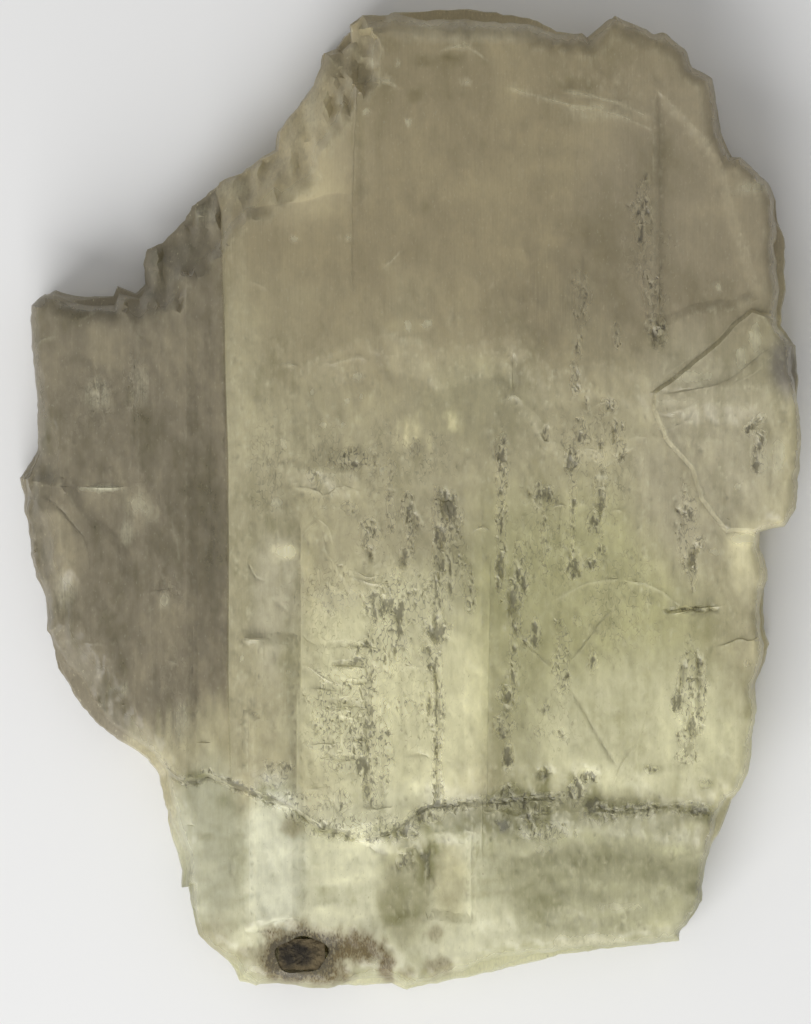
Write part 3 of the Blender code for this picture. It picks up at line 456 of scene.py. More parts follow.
# The patches of the upper face, in pixels of the photograph. First, dirt in small pits
DIRT = Spot.table(Patch.DIRTY, (
    (95, 446, 508, 14, 20), (85, 441, 542, 9, 28), (75, 370, 533, 11, 18), (70, 391, 518, 5, 20),
    (70, 407, 508, 6, 18), (75, 404, 557, 6, 12), (60, 350, 509, 10, 8), (28, 410, 560, 50, 70),
    (80, 374, 603, 14, 20), (80, 399, 610, 12, 22), (75, 436, 590, 10, 32), (85, 437, 631, 14, 13),
    (70, 470, 600, 7, 18), (75, 364, 645, 14, 8), (80, 360, 660, 14, 8), (80, 430, 655, 10, 16),
    (65, 368, 685, 12, 20), (85, 368, 725, 10, 34), (70, 362, 760, 18, 14), (55, 405, 705, 12, 12),
    (50, 424, 708, 8, 8), (70, 500, 450, 6, 24), (70, 502, 475, 7, 18), (75, 501, 517, 6, 16),
    (70, 500, 562, 6, 30), (85, 518, 578, 10, 32), (90, 513, 598, 12, 12), (75, 516, 622, 7, 16),
    (70, 535, 632, 5, 20), (80, 505, 694, 9, 9), (80, 503, 725, 13, 16), (80, 506, 755, 6, 20),
    (70, 508, 790, 10, 10), (85, 543, 494, 11, 12), (80, 572, 458, 10, 20), (85, 571, 468, 6, 7),
    (75, 580, 430, 8, 14), (85, 600, 496, 6, 18), (70, 592, 522, 7, 14), (70, 619, 450, 6, 12),
    (70, 617, 430, 8, 8), (65, 607, 406, 9, 8), (85, 573, 570, 8, 10), (75, 590, 563, 10, 8),
    (65, 599, 550, 5, 9), (31, 545, 540, 40, 60), (85, 577, 352, 4, 10), (55, 580, 300, 12, 30),
    (31, 640, 270, 20, 22), (60, 615, 335, 5, 16), (75, 657, 336, 9, 17), (65, 574, 380, 7, 20),
    (85, 686, 512, 8, 9), (75, 699, 542, 6, 8), (70, 688, 566, 5, 9), (80, 564, 680, 6, 14),
    (60, 529, 640, 8, 10), (70, 545, 708, 5, 6), (70, 559, 733, 5, 6), (60, 539, 730, 7, 5),
    (60, 577, 621, 5, 8), (55, 592, 660, 5, 14), (60, 391, 468, 6, 8), (65, 416, 447, 6, 9),
    (60, 350, 460, 30, 12), (60, 315, 475, 10, 8), (70, 320, 700, 16, 5), (70, 326, 722, 14, 6),
    (35, 275, 785, 20, 8), (60, 340, 800, 12, 14), (75, 437, 560, 4, 90), (70, 450, 560, 3, 70),
    (72, 501, 520, 4, 80), (68, 513, 640, 4, 90), (68, 390, 495, 3, 44), (68, 411, 530, 3, 44),
    (62, 572, 500, 3, 70), (66, 599, 480, 4, 60), (66, 372, 690, 4, 90), (60, 471, 590, 3, 40),
    (62, 691, 560, 4, 34), (55, 545, 540, 4, 46), (50, 641, 250, 4, 50), (50, 578, 330, 3, 54),
    (55, 400, 600, 40, 34), (28, 420, 690, 40, 70), (28, 620, 600, 40, 60), (25, 330, 640, 26, 40),
    (60, 318, 828, 16, 8), (28, 180, 720, 26, 40), (55, 650, 768, 10, 5), (50, 685, 752, 14, 10),
    (50, 704, 782, 8, 5), (50, 746, 662, 6, 5), (28, 645, 250, 30, 40), (28, 600, 480, 30, 60),
    (34, 330, 590, 40, 30), (60, 392, 640, 30, 40), (50, 340, 720, 34, 70), (55, 384, 740, 10, 60),
    (55, 437, 700, 6, 70), (50, 455, 560, 14, 60), (28, 420, 460, 40, 30), (28, 380, 470, 20, 50),
    (31, 590, 440, 36, 40), (55, 640, 220, 12, 40), (50, 650, 300, 16, 40), (28, 520, 660, 18, 90),
    (28, 550, 720, 30, 40), (50, 690, 700, 16, 60), (45, 685, 530, 12, 50), (50, 300, 800, 40, 14),
    (55, 360, 822, 50, 12), (50, 560, 660, 10, 50), (28, 270, 470, 24, 60), (25, 330, 470, 30, 50),
    (28, 180, 680, 30, 50), (28, 90, 400, 40, 40), (50, 100, 392, 16, 28), (50, 136, 385, 16, 34),
    (28, 140, 500, 18, 32), (45, 170, 590, 16, 20), (55, 165, 765, 16, 10), (50, 275, 775, 16, 12),
    (78, 188, 780, 13, 7), (80, 206, 773, 12, 7), (62, 240, 787, 16, 6), (78, 276, 801, 18, 7),
    (76, 302, 813, 14, 8), (82, 326, 829, 15, 9), (70, 348, 834, 16, 7), (72, 374, 830, 14, 8),
    (80, 404, 828, 18, 13), (80, 424, 812, 16, 11), (75, 452, 806, 20, 7), (72, 495, 799, 18, 9),
    (66, 530, 806, 26, 12), (72, 575, 790, 12, 14), (62, 600, 812, 26, 10), (66, 640, 808, 28, 8),
    (62, 690, 806, 26, 8), (62, 545, 830, 34, 10), (70, 286, 765, 10, 5), (72, 270, 761, 7, 5),
))

# Brushed shades along the crystal
BRUSHED = Spot.table(Patch.BRUSHED, (
    (55, 257, 630, 13, 6), (50, 255, 702, 4, 9), (40, 416, 446, 7, 9), (35, 225, 640, 8, 34),
    (35, 216, 560, 14, 80), (30, 200, 640, 8, 40), (40, 518, 378, 5, 16), (35, 560, 300, 60, 60),
    (25, 600, 340, 40, 60), (30, 376, 340, 10, 30), (25, 450, 580, 60, 120), (20, 520, 700, 40, 100),
))

# Soft dark patches under the surface
SOFT_DARKS = Spot.table(Patch.SOFT, (
    (-36, 541, 780, 8, 14), (-40, 570, 780, 8, 10), (-40, 590, 797, 9, 18), (-33, 520, 796, 44, 9),
    (-36, 460, 822, 40, 17), (-36, 520, 822, 40, 16), (-30, 570, 812, 60, 10), (-36, 640, 806, 60, 8),
    (-36, 700, 815, 30, 8), (-30, 667, 824, 10, 10), (-33, 427, 848, 18, 9), (-40, 422, 872, 11, 18),
    (-26, 400, 900, 22, 26), (-18, 291, 830, 10, 12), (-20, 172, 778, 9, 14), (-36, 650, 767, 11, 6),
    (-30, 705, 783, 8, 5), (-20, 747, 712, 8, 7), (-12, 204, 835, 10, 5), (-12, 224, 867, 9, 5),
    (-18, 652, 334, 13, 17), (-16, 760, 632, 12, 7), (-30, 380, 830, 24, 8), (-12, 446, 506, 16, 16),
    (-10, 500, 730, 12, 44), (-10, 368, 725, 10, 40), (-12, 516, 600, 10, 20), (-10, 640, 870, 70, 14),
    (-10, 560, 850, 60, 12), (-22, 427, 64, 12, 6), (-8, 600, 60, 50, 20), (-20, 452, 61, 11, 5),
    (-16, 416, 99, 8, 8), (-12, 361, 176, 5, 36), (-16, 425, 208, 5, 8), (-8, 434, 145, 5, 26),
    (-12, 578, 90, 26, 12), (-10, 375, 50, 22, 14), (-9, 470, 150, 40, 20), (-8, 600, 240, 60, 30),
    (-10, 640, 180, 40, 24), (-10, 720, 120, 26, 26), (-12, 775, 250, 14, 50), (-40, 198, 775, 13, 6),
    (-25, 236, 783, 10, 3), (-35, 264, 798, 10, 4), (-30, 288, 803, 10, 4), (-40, 327, 829, 11, 4),
    (-30, 405, 836, 12, 12), (-35, 425, 818, 14, 10), (-30, 437, 795, 4, 14), (-30, 545, 772, 5, 14),
    (-30, 510, 786, 8, 10), (-30, 600, 802, 14, 8), (-25, 690, 806, 26, 7), (-14, 93, 530, 8, 30),
    (-12, 120, 440, 26, 20), (-12, 200, 470, 20, 60), (-12, 130, 600, 26, 60), (-14, 70, 320, 20, 14),
    (-12, 205, 315, 12, 14), (-14, 578, 88, 26, 8), (-12, 437, 66, 30, 8), (-10, 414, 99, 10, 8),
    (-20, 272, 782, 22, 16), (-30, 278, 790, 18, 12), (-22, 431, 866, 11, 22), (-18, 400, 915, 16, 30),
    (-14, 545, 880, 60, 30), (-10, 630, 870, 60, 30), (-20, 490, 874, 12, 8), (-16, 222, 801, 8, 6),
    (-16, 208, 835, 8, 4), (-20, 232, 858, 4, 12), (-14, 345, 901, 30, 4), (-14, 320, 888, 18, 4),
    (-14, 292, 830, 12, 10), (-12, 340, 862, 26, 5), (-12, 62, 420, 22, 12), (-12, 150, 440, 12, 40),
    (-10, 108, 670, 30, 44), (-12, 175, 545, 14, 30),
))

# Soft pale clouds under the surface
SOFT_PALES = Spot.table(Patch.SOFT, (
    (12, 276, 592, 24, 60), (12, 480, 270, 90, 46), (10, 88, 560, 30, 50), (14, 106, 345, 26, 18),
    (18, 460, 852, 14, 20), (14, 345, 880, 30, 7), (14, 335, 912, 30, 6), (16, 395, 850, 12, 5),
    (14, 582, 110, 26, 5), (14, 513, 94, 12, 4), (12, 388, 83, 16, 4), (12, 460, 51, 12, 4),
    (10, 430, 330, 90, 60), (10, 480, 180, 80, 60), (16, 66, 520, 18, 26), (18, 140, 497, 18, 30),
    (12, 165, 620, 26, 40), (14, 205, 725, 20, 34), (12, 60, 370, 20, 24), (12, 110, 350, 22, 26),
    (14, 462, 818, 18, 8), (16, 585, 785, 5, 8), (14, 610, 785, 14, 12), (14, 255, 830, 8, 24),
    (10, 460, 88, 16, 9), (10, 456, 200, 14, 8), (8, 543, 172, 20, 9), (8, 515, 255, 16, 9),
    (10, 513, 94, 13, 5), (8, 384, 66, 16, 8), (10, 330, 215, 30, 8), (10, 700, 215, 26, 14),
    (9, 590, 120, 26, 12), (16, 66, 540, 20, 34), (20, 412, 326, 26, 7), (16, 488, 364, 22, 12),
    (12, 455, 383, 8, 5), (12, 465, 478, 10, 7), (12, 590, 392, 12, 8), (16, 674, 330, 6, 24),
    (12, 640, 372, 14, 20), (30, 745, 540, 18, 9), (14, 742, 556, 20, 16), (14, 777, 458, 8, 18),
    (12, 350, 580, 46, 18), (14, 400, 815, 20, 8), (16, 345, 865, 34, 30), (12, 470, 780, 12, 18),
    (16, 180, 350, 32, 56), (10, 66, 560, 22, 26), (12, 146, 500, 12, 22), (-10, 90, 615, 30, 34),
    (-10, 208, 540, 14, 70), (-14, 245, 950, 16, 8), (14, 300, 195, 30, 8), (12, 545, 852, 22, 5),
    (12, 600, 838, 40, 6), (12, 650, 850, 40, 6), (12, 620, 885, 60, 6), (12, 690, 760, 26, 14),
    (10, 700, 730, 24, 20), (18, 175, 815, 6, 20), (12, 66, 560, 14, 30), (12, 140, 510, 18, 24),
    (8, 440, 720, 30, 60), (10, 385, 700, 12, 40), (8, 590, 770, 60, 20), (12, 560, 140, 60, 14),
    (12, 320, 150, 14, 30), (10, 640, 125, 30, 10),
))

# Painted highlights: bright patches, streaked along the crystal
GLOWS = Spot.table(Patch.GLOW, (
    (150, 289, 551, 14, 7), (40, 292, 556, 28, 20), (110, 410, 434, 13, 15), (70, 432, 442, 6, 10),
    (120, 453, 422, 8, 12), (55, 398, 446, 6, 7), (25, 475, 680, 14, 60), (25, 395, 680, 26, 60),
    (20, 345, 620, 36, 40), (20, 665, 728, 24, 22), (20, 742, 545, 18, 16), (22, 312, 600, 10, 60),
))

# Pale flecks, splinters and bruises
FLECKS = Spot.table(Patch.PALE, (
    (94, 289, 551, 12, 5), (94, 278, 503, 6, 6), (74, 357, 378, 5, 4), (81, 347, 402, 4, 4),
    (88, 361, 397, 2, 2), (88, 313, 394, 2, 2), (81, 324, 426, 4, 2), (68, 343, 425, 3, 2),
    (74, 284, 444, 3, 5), (81, 241, 433, 4, 1.5), (74, 370, 452, 3, 4), (81, 382, 470, 2, 5),
    (88, 495, 287, 4, 2), (81, 407, 326, 3, 4), (68, 427, 325, 4, 4), (100, 601, 477, 7, 4),
    (74, 506, 705, 5, 3), (81, 713, 485, 3, 1.5), (68, 734, 486, 4, 2), (81, 713, 552, 4, 2),
    (81, 700, 268, 3, 1.5), (68, 715, 290, 4, 3), (68, 296, 241, 4, 3), (54, 346, 240, 6, 2),
    (81, 243, 658, 2, 5), (81, 255, 712, 3, 1.5), (68, 289, 671, 2, 4), (68, 316, 742, 10, 7),
    (81, 352, 740, 8, 16), (61, 352, 766, 12, 6), (61, 402, 640, 14, 12), (61, 412, 590, 8, 14),
    (54, 335, 600, 26, 14), (54, 372, 816, 26, 8), (68, 430, 815, 14, 8), (81, 744, 538, 17, 4),
    (68, 752, 340, 5, 20), (54, 738, 360, 5, 14), (54, 690, 378, 20, 6), (68, 775, 455, 7, 16),
    (47, 760, 465, 8, 12), (47, 165, 600, 6, 8), (47, 126, 688, 4, 8), (47, 182, 716, 9, 20),
    (100, 103, 489, 24, 3.2), (40, 140, 505, 16, 14), (35, 128, 530, 8, 14), (30, 66, 590, 12, 20),
    (35, 100, 395, 14, 18), (25, 140, 385, 10, 20), (47, 460, 50, 10, 3), (41, 466, 86, 6, 3),
    # The last patch of the next row, at (372, 961), is a painted glint
    (41, 386, 83, 14, 3), (47, 585, 111, 20, 4), (81, 258, 968, 12, 3), (100, 372, 961, 5, 3),
    (68, 585, 940, 50, 8), (47, 620, 905, 40, 6), (54, 545, 848, 18, 3), (27, 310, 110, 8, 30),
    (20, 330, 140, 6, 26), (27, 300, 194, 26, 6), (41, 238, 190, 16, 10), (41, 205, 215, 14, 10),
    (30, 600, 118, 40, 5), (74, 371, 67, 3, 1.5), (74, 399, 69, 3, 2), (68, 366, 114, 4, 1.5),
    (74, 408, 126, 3, 2), (68, 391, 216, 4, 1.5), (41, 750, 190, 16, 8), (47, 176, 810, 6, 18),
))

# Scooped hollows of broken faces
HOLLOWS = Spot.table(Patch.HOLLOW, (
    (40, 700, 375, 34, 20), (45, 748, 345, 18, 24), (50, 785, 400, 8, 60), (35, 330, 958, 110, 26),
    (50, 600, 85, 60, 24), (40, 320, 545, 18, 24), (40, 365, 575, 36, 14), (40, 90, 480, 60, 30),
    (40, 122, 385, 34, 34), (40, 610, 930, 90, 22), (40, 440, 640, 30, 30), (40, 750, 150, 40, 40),
    (40, 340, 720, 40, 60),
))

SPOTS = (*DIRT, *BRUSHED, *SOFT_DARKS, *SOFT_PALES, *GLOWS, *FLECKS, *HOLLOWS)

# Brown stains round the clay
STAINS = Spot.table(Patch.STAIN, (
    (100, 346, 948, 34, 22), (100, 370, 950, 18, 14), (100, 387, 966, 10, 20), (90, 325, 972, 34, 16),
    (100, 322, 955, 16, 20), (100, 352, 942, 26, 12), (90, 280, 940, 20, 14), (100, 336, 956, 9, 7),
    (90, 276, 934, 16, 12), (50, 291, 828, 12, 13), (35, 214, 938, 20, 26), (60, 437, 966, 18, 12),
    (50, 436, 933, 10, 9), (45, 250, 953, 26, 10), (50, 405, 972, 12, 6),
))

# Wide zones of tint, in pixels of the photograph and in screen colours. Besides the crystal's own tints,
# they hold a painted gradient of light: darker at the head, paler towards the foot
GROUND_COLOUR = (170, 162, 127)
ZONES = (
    Zone(480, 40, 420, 330, 0.75, (143, 131, 99)),
    Zone(480, 34, 90, 12, 0.6, (160, 150, 120)),
    Zone(480, 405, 60, 46, 0.9, (150, 143, 110)),
    Zone(276, 600, 24, 76, 0.8, (184, 177, 146)),
    Zone(700, 190, 110, 150, 0.8, (141, 130, 103)),
    Zone(300, 150, 70, 70, 0.8, (166, 154, 120)),
    Zone(570, 640, 130, 150, 0.8, (172, 168, 121)),
    Zone(395, 700, 98, 135, 0.6, (208, 203, 162)),
    Zone(640, 740, 120, 80, 0.8, (203, 199, 159)),
    Zone(700, 460, 70, 110, 0.8, (170, 162, 132)),
    Zone(744, 560, 22, 40, 0.8, (196, 188, 150)),
    Zone(440, 920, 330, 120, 0.45, (214, 211, 176)),
    Zone(575, 812, 160, 24, 0.8, (150, 146, 111)),
    Zone(275, 860, 34, 84, 0.5, (212, 211, 184)),
    Zone(208, 850, 38, 90, 0.6, (184, 182, 153)),
    Zone(600, 880, 120, 64, 0.7, (166, 163, 127)),
    Zone(405, 890, 28, 60, 0.7, (172, 168, 132)),
    Zone(450, 880, 18, 40, 0.8, (186, 180, 142)),
    Zone(784, 366, 18, 30, 0.8, (122, 116, 103)),
    Zone(30, 560, 30, 150, 0.7, (110, 102, 85)),
)
LAMELLA_COLOUR = (121, 112, 90)
LAMELLA_END = (120.0, 775.0)


def on_blade(points: Sequence[Place]) -> np.ndarray:
    """Turn pixels of the photograph into millimetres on the blade.

    Args:
        points: places in pixels, from the photograph's top left corner.

    Returns:
        The places in millimetres, one row each.
    """
    return (np.array(points, dtype=float) - PHOTO_MIDDLE) * (1.0, -1.0) / PIXELS_PER_MM


def tinted(colour: Sequence[int]) -> np.ndarray:
    """Turn the colour that a place shows into a base colour for its surface.

    Light passes the surface on its way in and out, so the base colour is paler than what it shows.

    Args:
        colour: red, green and blue as a screen shows them, 0 to 255.

    Returns:
        The base colour in linear light.
    """
    shown = np.array(colour, dtype=float) / 255.0
    light = np.where(shown <= 0.04045, shown / 12.92, ((shown + 0.055) / 1.055) ** 2.4)
    return TINT_GAIN * light ** TINT_POWER


def ramp(values: np.ndarray) -> np.ndarray:
    """The values held between 0 and 1."""
    return np.minimum(np.maximum(values, 0.0), 1.0)


def eased(values: np.ndarray) -> np.ndarray:
    """The values held between 0 and 1, with soft ends."""
    held = ramp(values)
    return held * held * (3.0 - 2.0 * held)


def scattered(index: np.ndarray, seed: float) -> np.ndarray:
    """A value between -1 and 1 for each whole number, the same each time for one seed."""
    wave = np.abs(np.sin(index * 12.9898 + seed * 78.233)) * 43758.5453
    return 2.0 * np.modf(wave)[0] - 1.0


def broken(along: np.ndarray, length: float, seed: float) -> np.ndarray:
    """A broken line between -1 and 1 along a coordinate, with a corner at each length.

    Args:
        along: the coordinate.
        length: how far apart its corners are.
        seed: which line.

    Returns:
        The line's height at each coordinate.
    """
    cell = np.floor(along / length)
    share = along / length - cell
    return scattered(cell, seed) * (1.0 - share) + scattered(cell + 1.0, seed) * share


def cell_value(column: np.ndarray, row: np.ndarray, seed: float) -> np.ndarray:
    """A value between -1 and 1 for each cell of a grid."""
    return scattered(column * 1.371 + row * 7.177, seed)


def cloudy(x: np.ndarray, y: np.ndarray, seed: float) -> np.ndarray:
    """Soft noise between -1 and 1, with features one unit wide.

    Args:
        x: first coordinate, in features.
        y: second coordinate, in features.
        seed: which noise.

    Returns:
        The noise at each point.
    """
    column, row = np.floor(x), np.floor(y)
    across, along = eased(x - column), eased(y - row)
    near, far = (
        cell_value(column, each, seed) * (1 - across) + cell_value(column + 1, each, seed) * across
        for each in (row, row + 1)
    )
    return near * (1 - along) + far * along


def clouds(x: np.ndarray, y: np.ndarray, seed: float, layers: int = 4) -> np.ndarray:
    """Warped noise between about -1 and 1, each finer layer half as wide and half as strong.

    Args:
        x: first coordinate, in the widest features.
        y: second coordinate, in the widest features.
        seed: which noise.
        layers: how many layers it has.

    Returns:
        The noise at each point.
    """
    bend = cloudy(x * 1.3, y * 1.3, seed + 0.7)
    total = np.zeros(x.shape)
    for layer in range(layers):
        scale = 2.0**layer
        total += 0.55**layer * cloudy((x + 0.35 * bend) * scale, (y - 0.35 * bend) * scale, seed + layer)
    return 0.75 * total


def scooped(x: np.ndarray, y: np.ndarray, seed: float) -> tuple[np.ndarray, np.ndarray]:
    """Shallow bowls that meet in sharp ridges.

    Args:
        x: first coordinate, in bowls.
        y: second coordinate, in bowls.
        seed: which scatter of bowls.

    Returns:
        The depth up each bowl's side, 0 at its middle, and a value between -1 and 1 for each bowl.
    """
    column, row = np.floor(x), np.floor(y)
    nearest, chosen = np.full(x.shape, np.inf), np.zeros(x.shape)
    for step_x in (-1.0, 0.0, 1.0):
        for step_y in (-1.0, 0.0, 1.0):
            cell_x, cell_y = column + step_x, row + step_y
            gap_x = x - cell_x - 0.5 - 0.4 * cell_value(cell_x, cell_y, seed)
            gap_y = y - cell_y - 0.5 - 0.4 * cell_value(cell_x, cell_y, seed + 1.0)
            apart = gap_x * gap_x + gap_y * gap_y
            closer = apart < nearest
            nearest = np.where(closer, apart, nearest)
            chosen = np.where(closer, cell_value(cell_x, cell_y, seed + 2.0), chosen)
    return nearest, chosen


class Noise(Enum):
    """The noises of the face: how wide and long their features are, their seed and their layers.

    A noise of no layers is plain. The others are warped, with finer layers over a wide one.
    """

    BEVEL_END = (2.1, 7, 3, 0)
    CRUMPLING = (14, 18, 57, 0)
    GLOW_STREAKS = (0.6, 5.5, 58, 0)
    GRAIN = (0.85, 2.3, 31, 0)
    FINE_GRAIN = (0.5, 1.1, 32, 0)
    CURL = (1.9, 4.3, 33, 3)
    SMUDGES = (1.2, 3.2, 73, 0)
    LUMPS = (3.2, 5.4, 48, 5)
    EMBOSS = (1.6, 2.9, 63, 2)
    LAMELLA_LUMPS = (2, 4.5, 68, 3)
    LAMELLA_EMBOSS = (0.9, 1.5, 69, 2)
    FADING = (9, 12, 64, 0)
    STREAKS = (1.4, 30, 41, 0)
    FINE_STREAKS = (0.75, 16, 42, 0)
    SWELLS = (21, 34, 43, 0)
    VEILS = (12, 17, 44, 5)
    SPECKS = (0.9, 1.3, 75, 0)
    MOTTLES = (2.2, 3.2, 76, 3)
    PALE_STREAKS = (1.3, 15, 45, 0)
    FINE_PALE_STREAKS = (0.7, 9, 74, 0)
    WISPS = (10, 2.8, 59, 4)
    PUFFS = (4.5, 6.5, 65, 3)
    LAMELLA_VEILS = (3, 7, 66, 4)
    LAMELLA_MOTTLES = (1.1, 2.2, 67, 2)
    BANDS = (4.5, 45, 46, 0)
    BRUISES = (2.4, 4.4, 50, 4)
    ZONE_EDGE = (60, 90, 51, 4)
    LAMELLA_END = (5, 45, 52, 0)
    STAIN_EDGE = (4, 4, 49, 4)
    SMEARS = (0.9, 0.9, 78, 0)

    def at(self, x: np.ndarray, y: np.ndarray) -> np.ndarray:
        """The noise at each point.

        Args:
            x: first coordinate, in the unit that the features are given in.
            y: second coordinate, in the same unit.

        Returns:
            The noise's values, between about -1 and 1.
        """
        width, length, seed, layers = self.value
        if layers == 0:
            return cloudy(x / width, y / length, seed)
        return clouds(x / width, y / length, seed, layers)


def resampled(corners: np.ndarray, spacing: float, closed: bool = True) -> np.ndarray:
    """Put points between the corners of a line.

    Args:
        corners: the line's corners, which are all kept.
        spacing: about how far apart two neighbours may be.
        closed: whether the line runs back to its first corner.

    Returns:
        The points, one row each.
    """
    points: list[np.ndarray] = []
    ends = np.roll(corners, -1, axis=0) if closed else corners[1:]
    for start, end in zip(corners, ends):
        parts = max(1, round(float(np.linalg.norm(end - start)) / spacing))
        points.extend(start + (end - start) * i / parts for i in range(parts))
    if not closed:
        points.append(corners[-1])
    return np.array(points)


def normals_of(outline: np.ndarray) -> np.ndarray:
    """Unit normals at an anticlockwise outline's points, pointing inwards.

    Args:
        outline: the outline's points.

    Returns:
        One normal for each point.
    """
    along = np.roll(outline, -1, axis=0) - np.roll(outline, 1, axis=0)
    inward = np.stack([-along[:, 1], along[:, 0]], axis=1)
    return inward / np.maximum(np.linalg.norm(inward, axis=1, keepdims=True), 1e-9)


def smoothed(values: np.ndarray, rounds: int) -> np.ndarray:
    """A closed run of values, averaged with its neighbours.

    Args:
        values: the values.
        rounds: how often they are averaged.

    Returns:
        As many values, smoother.
    """
    for _ in range(rounds):
        values = (np.roll(values, 1, axis=0) + 2.0 * values + np.roll(values, -1, axis=0)) / 4.0
    return values


def refined(values: np.ndarray, parts: int) -> np.ndarray:
    """A closed run of values with others put evenly between each two of them.

    Args:
        values: the values.
        parts: how many there are for each old one.

    Returns:
        The longer run.
    """
    share = (np.arange(parts) / parts).reshape(1, parts, *[1] * (values.ndim - 1))
    ahead = np.roll(values, -1, axis=0)[:, None]
    mixed = values[:, None] * (1.0 - share) + ahead * share
    return mixed.reshape(-1, *values.shape[1:])


def nearest_points(points: np.ndarray, others: np.ndarray) -> tuple[np.ndarray, np.ndarray]:
    """Which of the other points lies nearest to each point.

    Args:
        points: the points, one row each.
        others: those that are looked through.

    Returns:
        The index of the nearest one, and how far away it is.
    """
    tree = KDTree(len(others))
    for index, (x, y) in enumerate(others):
        tree.insert((x, y, 0.0), index)
    tree.balance()
    found = [tree.find((x, y, 0.0)) for x, y in points]
    return np.array([index for _, index, _ in found]), np.array([apart for _, _, apart in found])


@dataclass
class Plan:
    """Points in plan, sorted along the blade so that those near a line are found at once."""

    points: np.ndarray
    order: np.ndarray = field(init=False)
    sorted: np.ndarray = field(init=False)

    def __post_init__(self) -> None:
        """Sort the points along the blade."""
        self.order = np.argsort(self.points[:, 1], kind="stable")
        self.sorted = self.points[self.order]

    def rows(self, low: float, high: float) -> slice:
        """Which sorted points lie between two places along the blade."""
        return slice(*np.searchsorted(self.sorted[:, 1], (low, high)))

    def restored(self, values: np.ndarray) -> np.ndarray:
        """Values of the sorted points, in the order of the points themselves.

        Args:
            values: what each sorted point has.

        Returns:
            The same values in the other order.
        """
        result = np.empty_like(values)
        result[self.order] = values
        return result

    def inside(self, outline: np.ndarray) -> np.ndarray:
        """Which sorted points lie inside a closed outline.

        Args:
            outline: the outline's points.

        Returns:
            Whether each one does.
        """
        result = np.zeros(len(self.sorted), dtype=bool)
        for (x0, y0), (x1, y1) in zip(outline, np.roll(outline, -1, axis=0)):
            if y0 == y1:
                continue
            rows = self.rows(min(y0, y1), max(y0, y1))
            x, y = self.sorted[rows].T
            result[rows] ^= x < x0 + (y - y0) * (x1 - x0) / (y1 - y0)
        return result

    def depth(self, outline: np.ndarray, reach: float) -> np.ndarray:
        """Each point's distance to a closed outline, positive inside it.

        Args:
            outline: the outline's points.
            reach: how far from the outline the distance matters. Points beyond it get this value.

        Returns:
            The distances, in the order of the points.
        """
        nearest, _, _ = self.nearest(np.concatenate([outline, outline[:1]]), reach)
        return self.restored(np.where(self.inside(outline), nearest, -nearest))

    def nearest(self, line: np.ndarray, reach: float) -> tuple[np.ndarray, np.ndarray, np.ndarray]:
        """How each sorted point lies to a line.

        Args:
            line: the line's points, in order.
            reach: how far from the line a point is looked at.

        Returns:
            The distance, the side (1 to the right of the line's direction, else -1), and how far
            along the line the nearest place is.
        """
        distance = np.full(len(self.sorted), reach)
        side, along = np.ones(len(self.sorted)), np.zeros(len(self.sorted))
        spans = np.diff(line, axis=0)
        lengths = np.maximum(np.hypot(*spans.T), 1e-9)
        runs = np.cumsum(lengths) - lengths
        low = np.searchsorted(self.sorted[:, 1], np.minimum(line[:-1, 1], line[1:, 1]) - reach)
        high = np.searchsorted(self.sorted[:, 1], np.maximum(line[:-1, 1], line[1:, 1]) + reach)
        for (x, y), (dx, dy), length, run, first, end in zip(line, spans, lengths, runs, low, high):
            off_x, off_y = self.sorted[first:end, 0] - x, self.sorted[first:end, 1] - y
            share = ramp((off_x * dx + off_y * dy) / length**2)
            apart = np.hypot(off_x - share * dx, off_y - share * dy)
            closer = np.flatnonzero(apart < distance[first:end])
            places = first + closer
            distance[places] = apart[closer]
            side[places] = np.where(dx * off_y[closer] < dy * off_x[closer], 1.0, -1.0)
            along[places] = run + share[closer] * length
        return distance, side, along


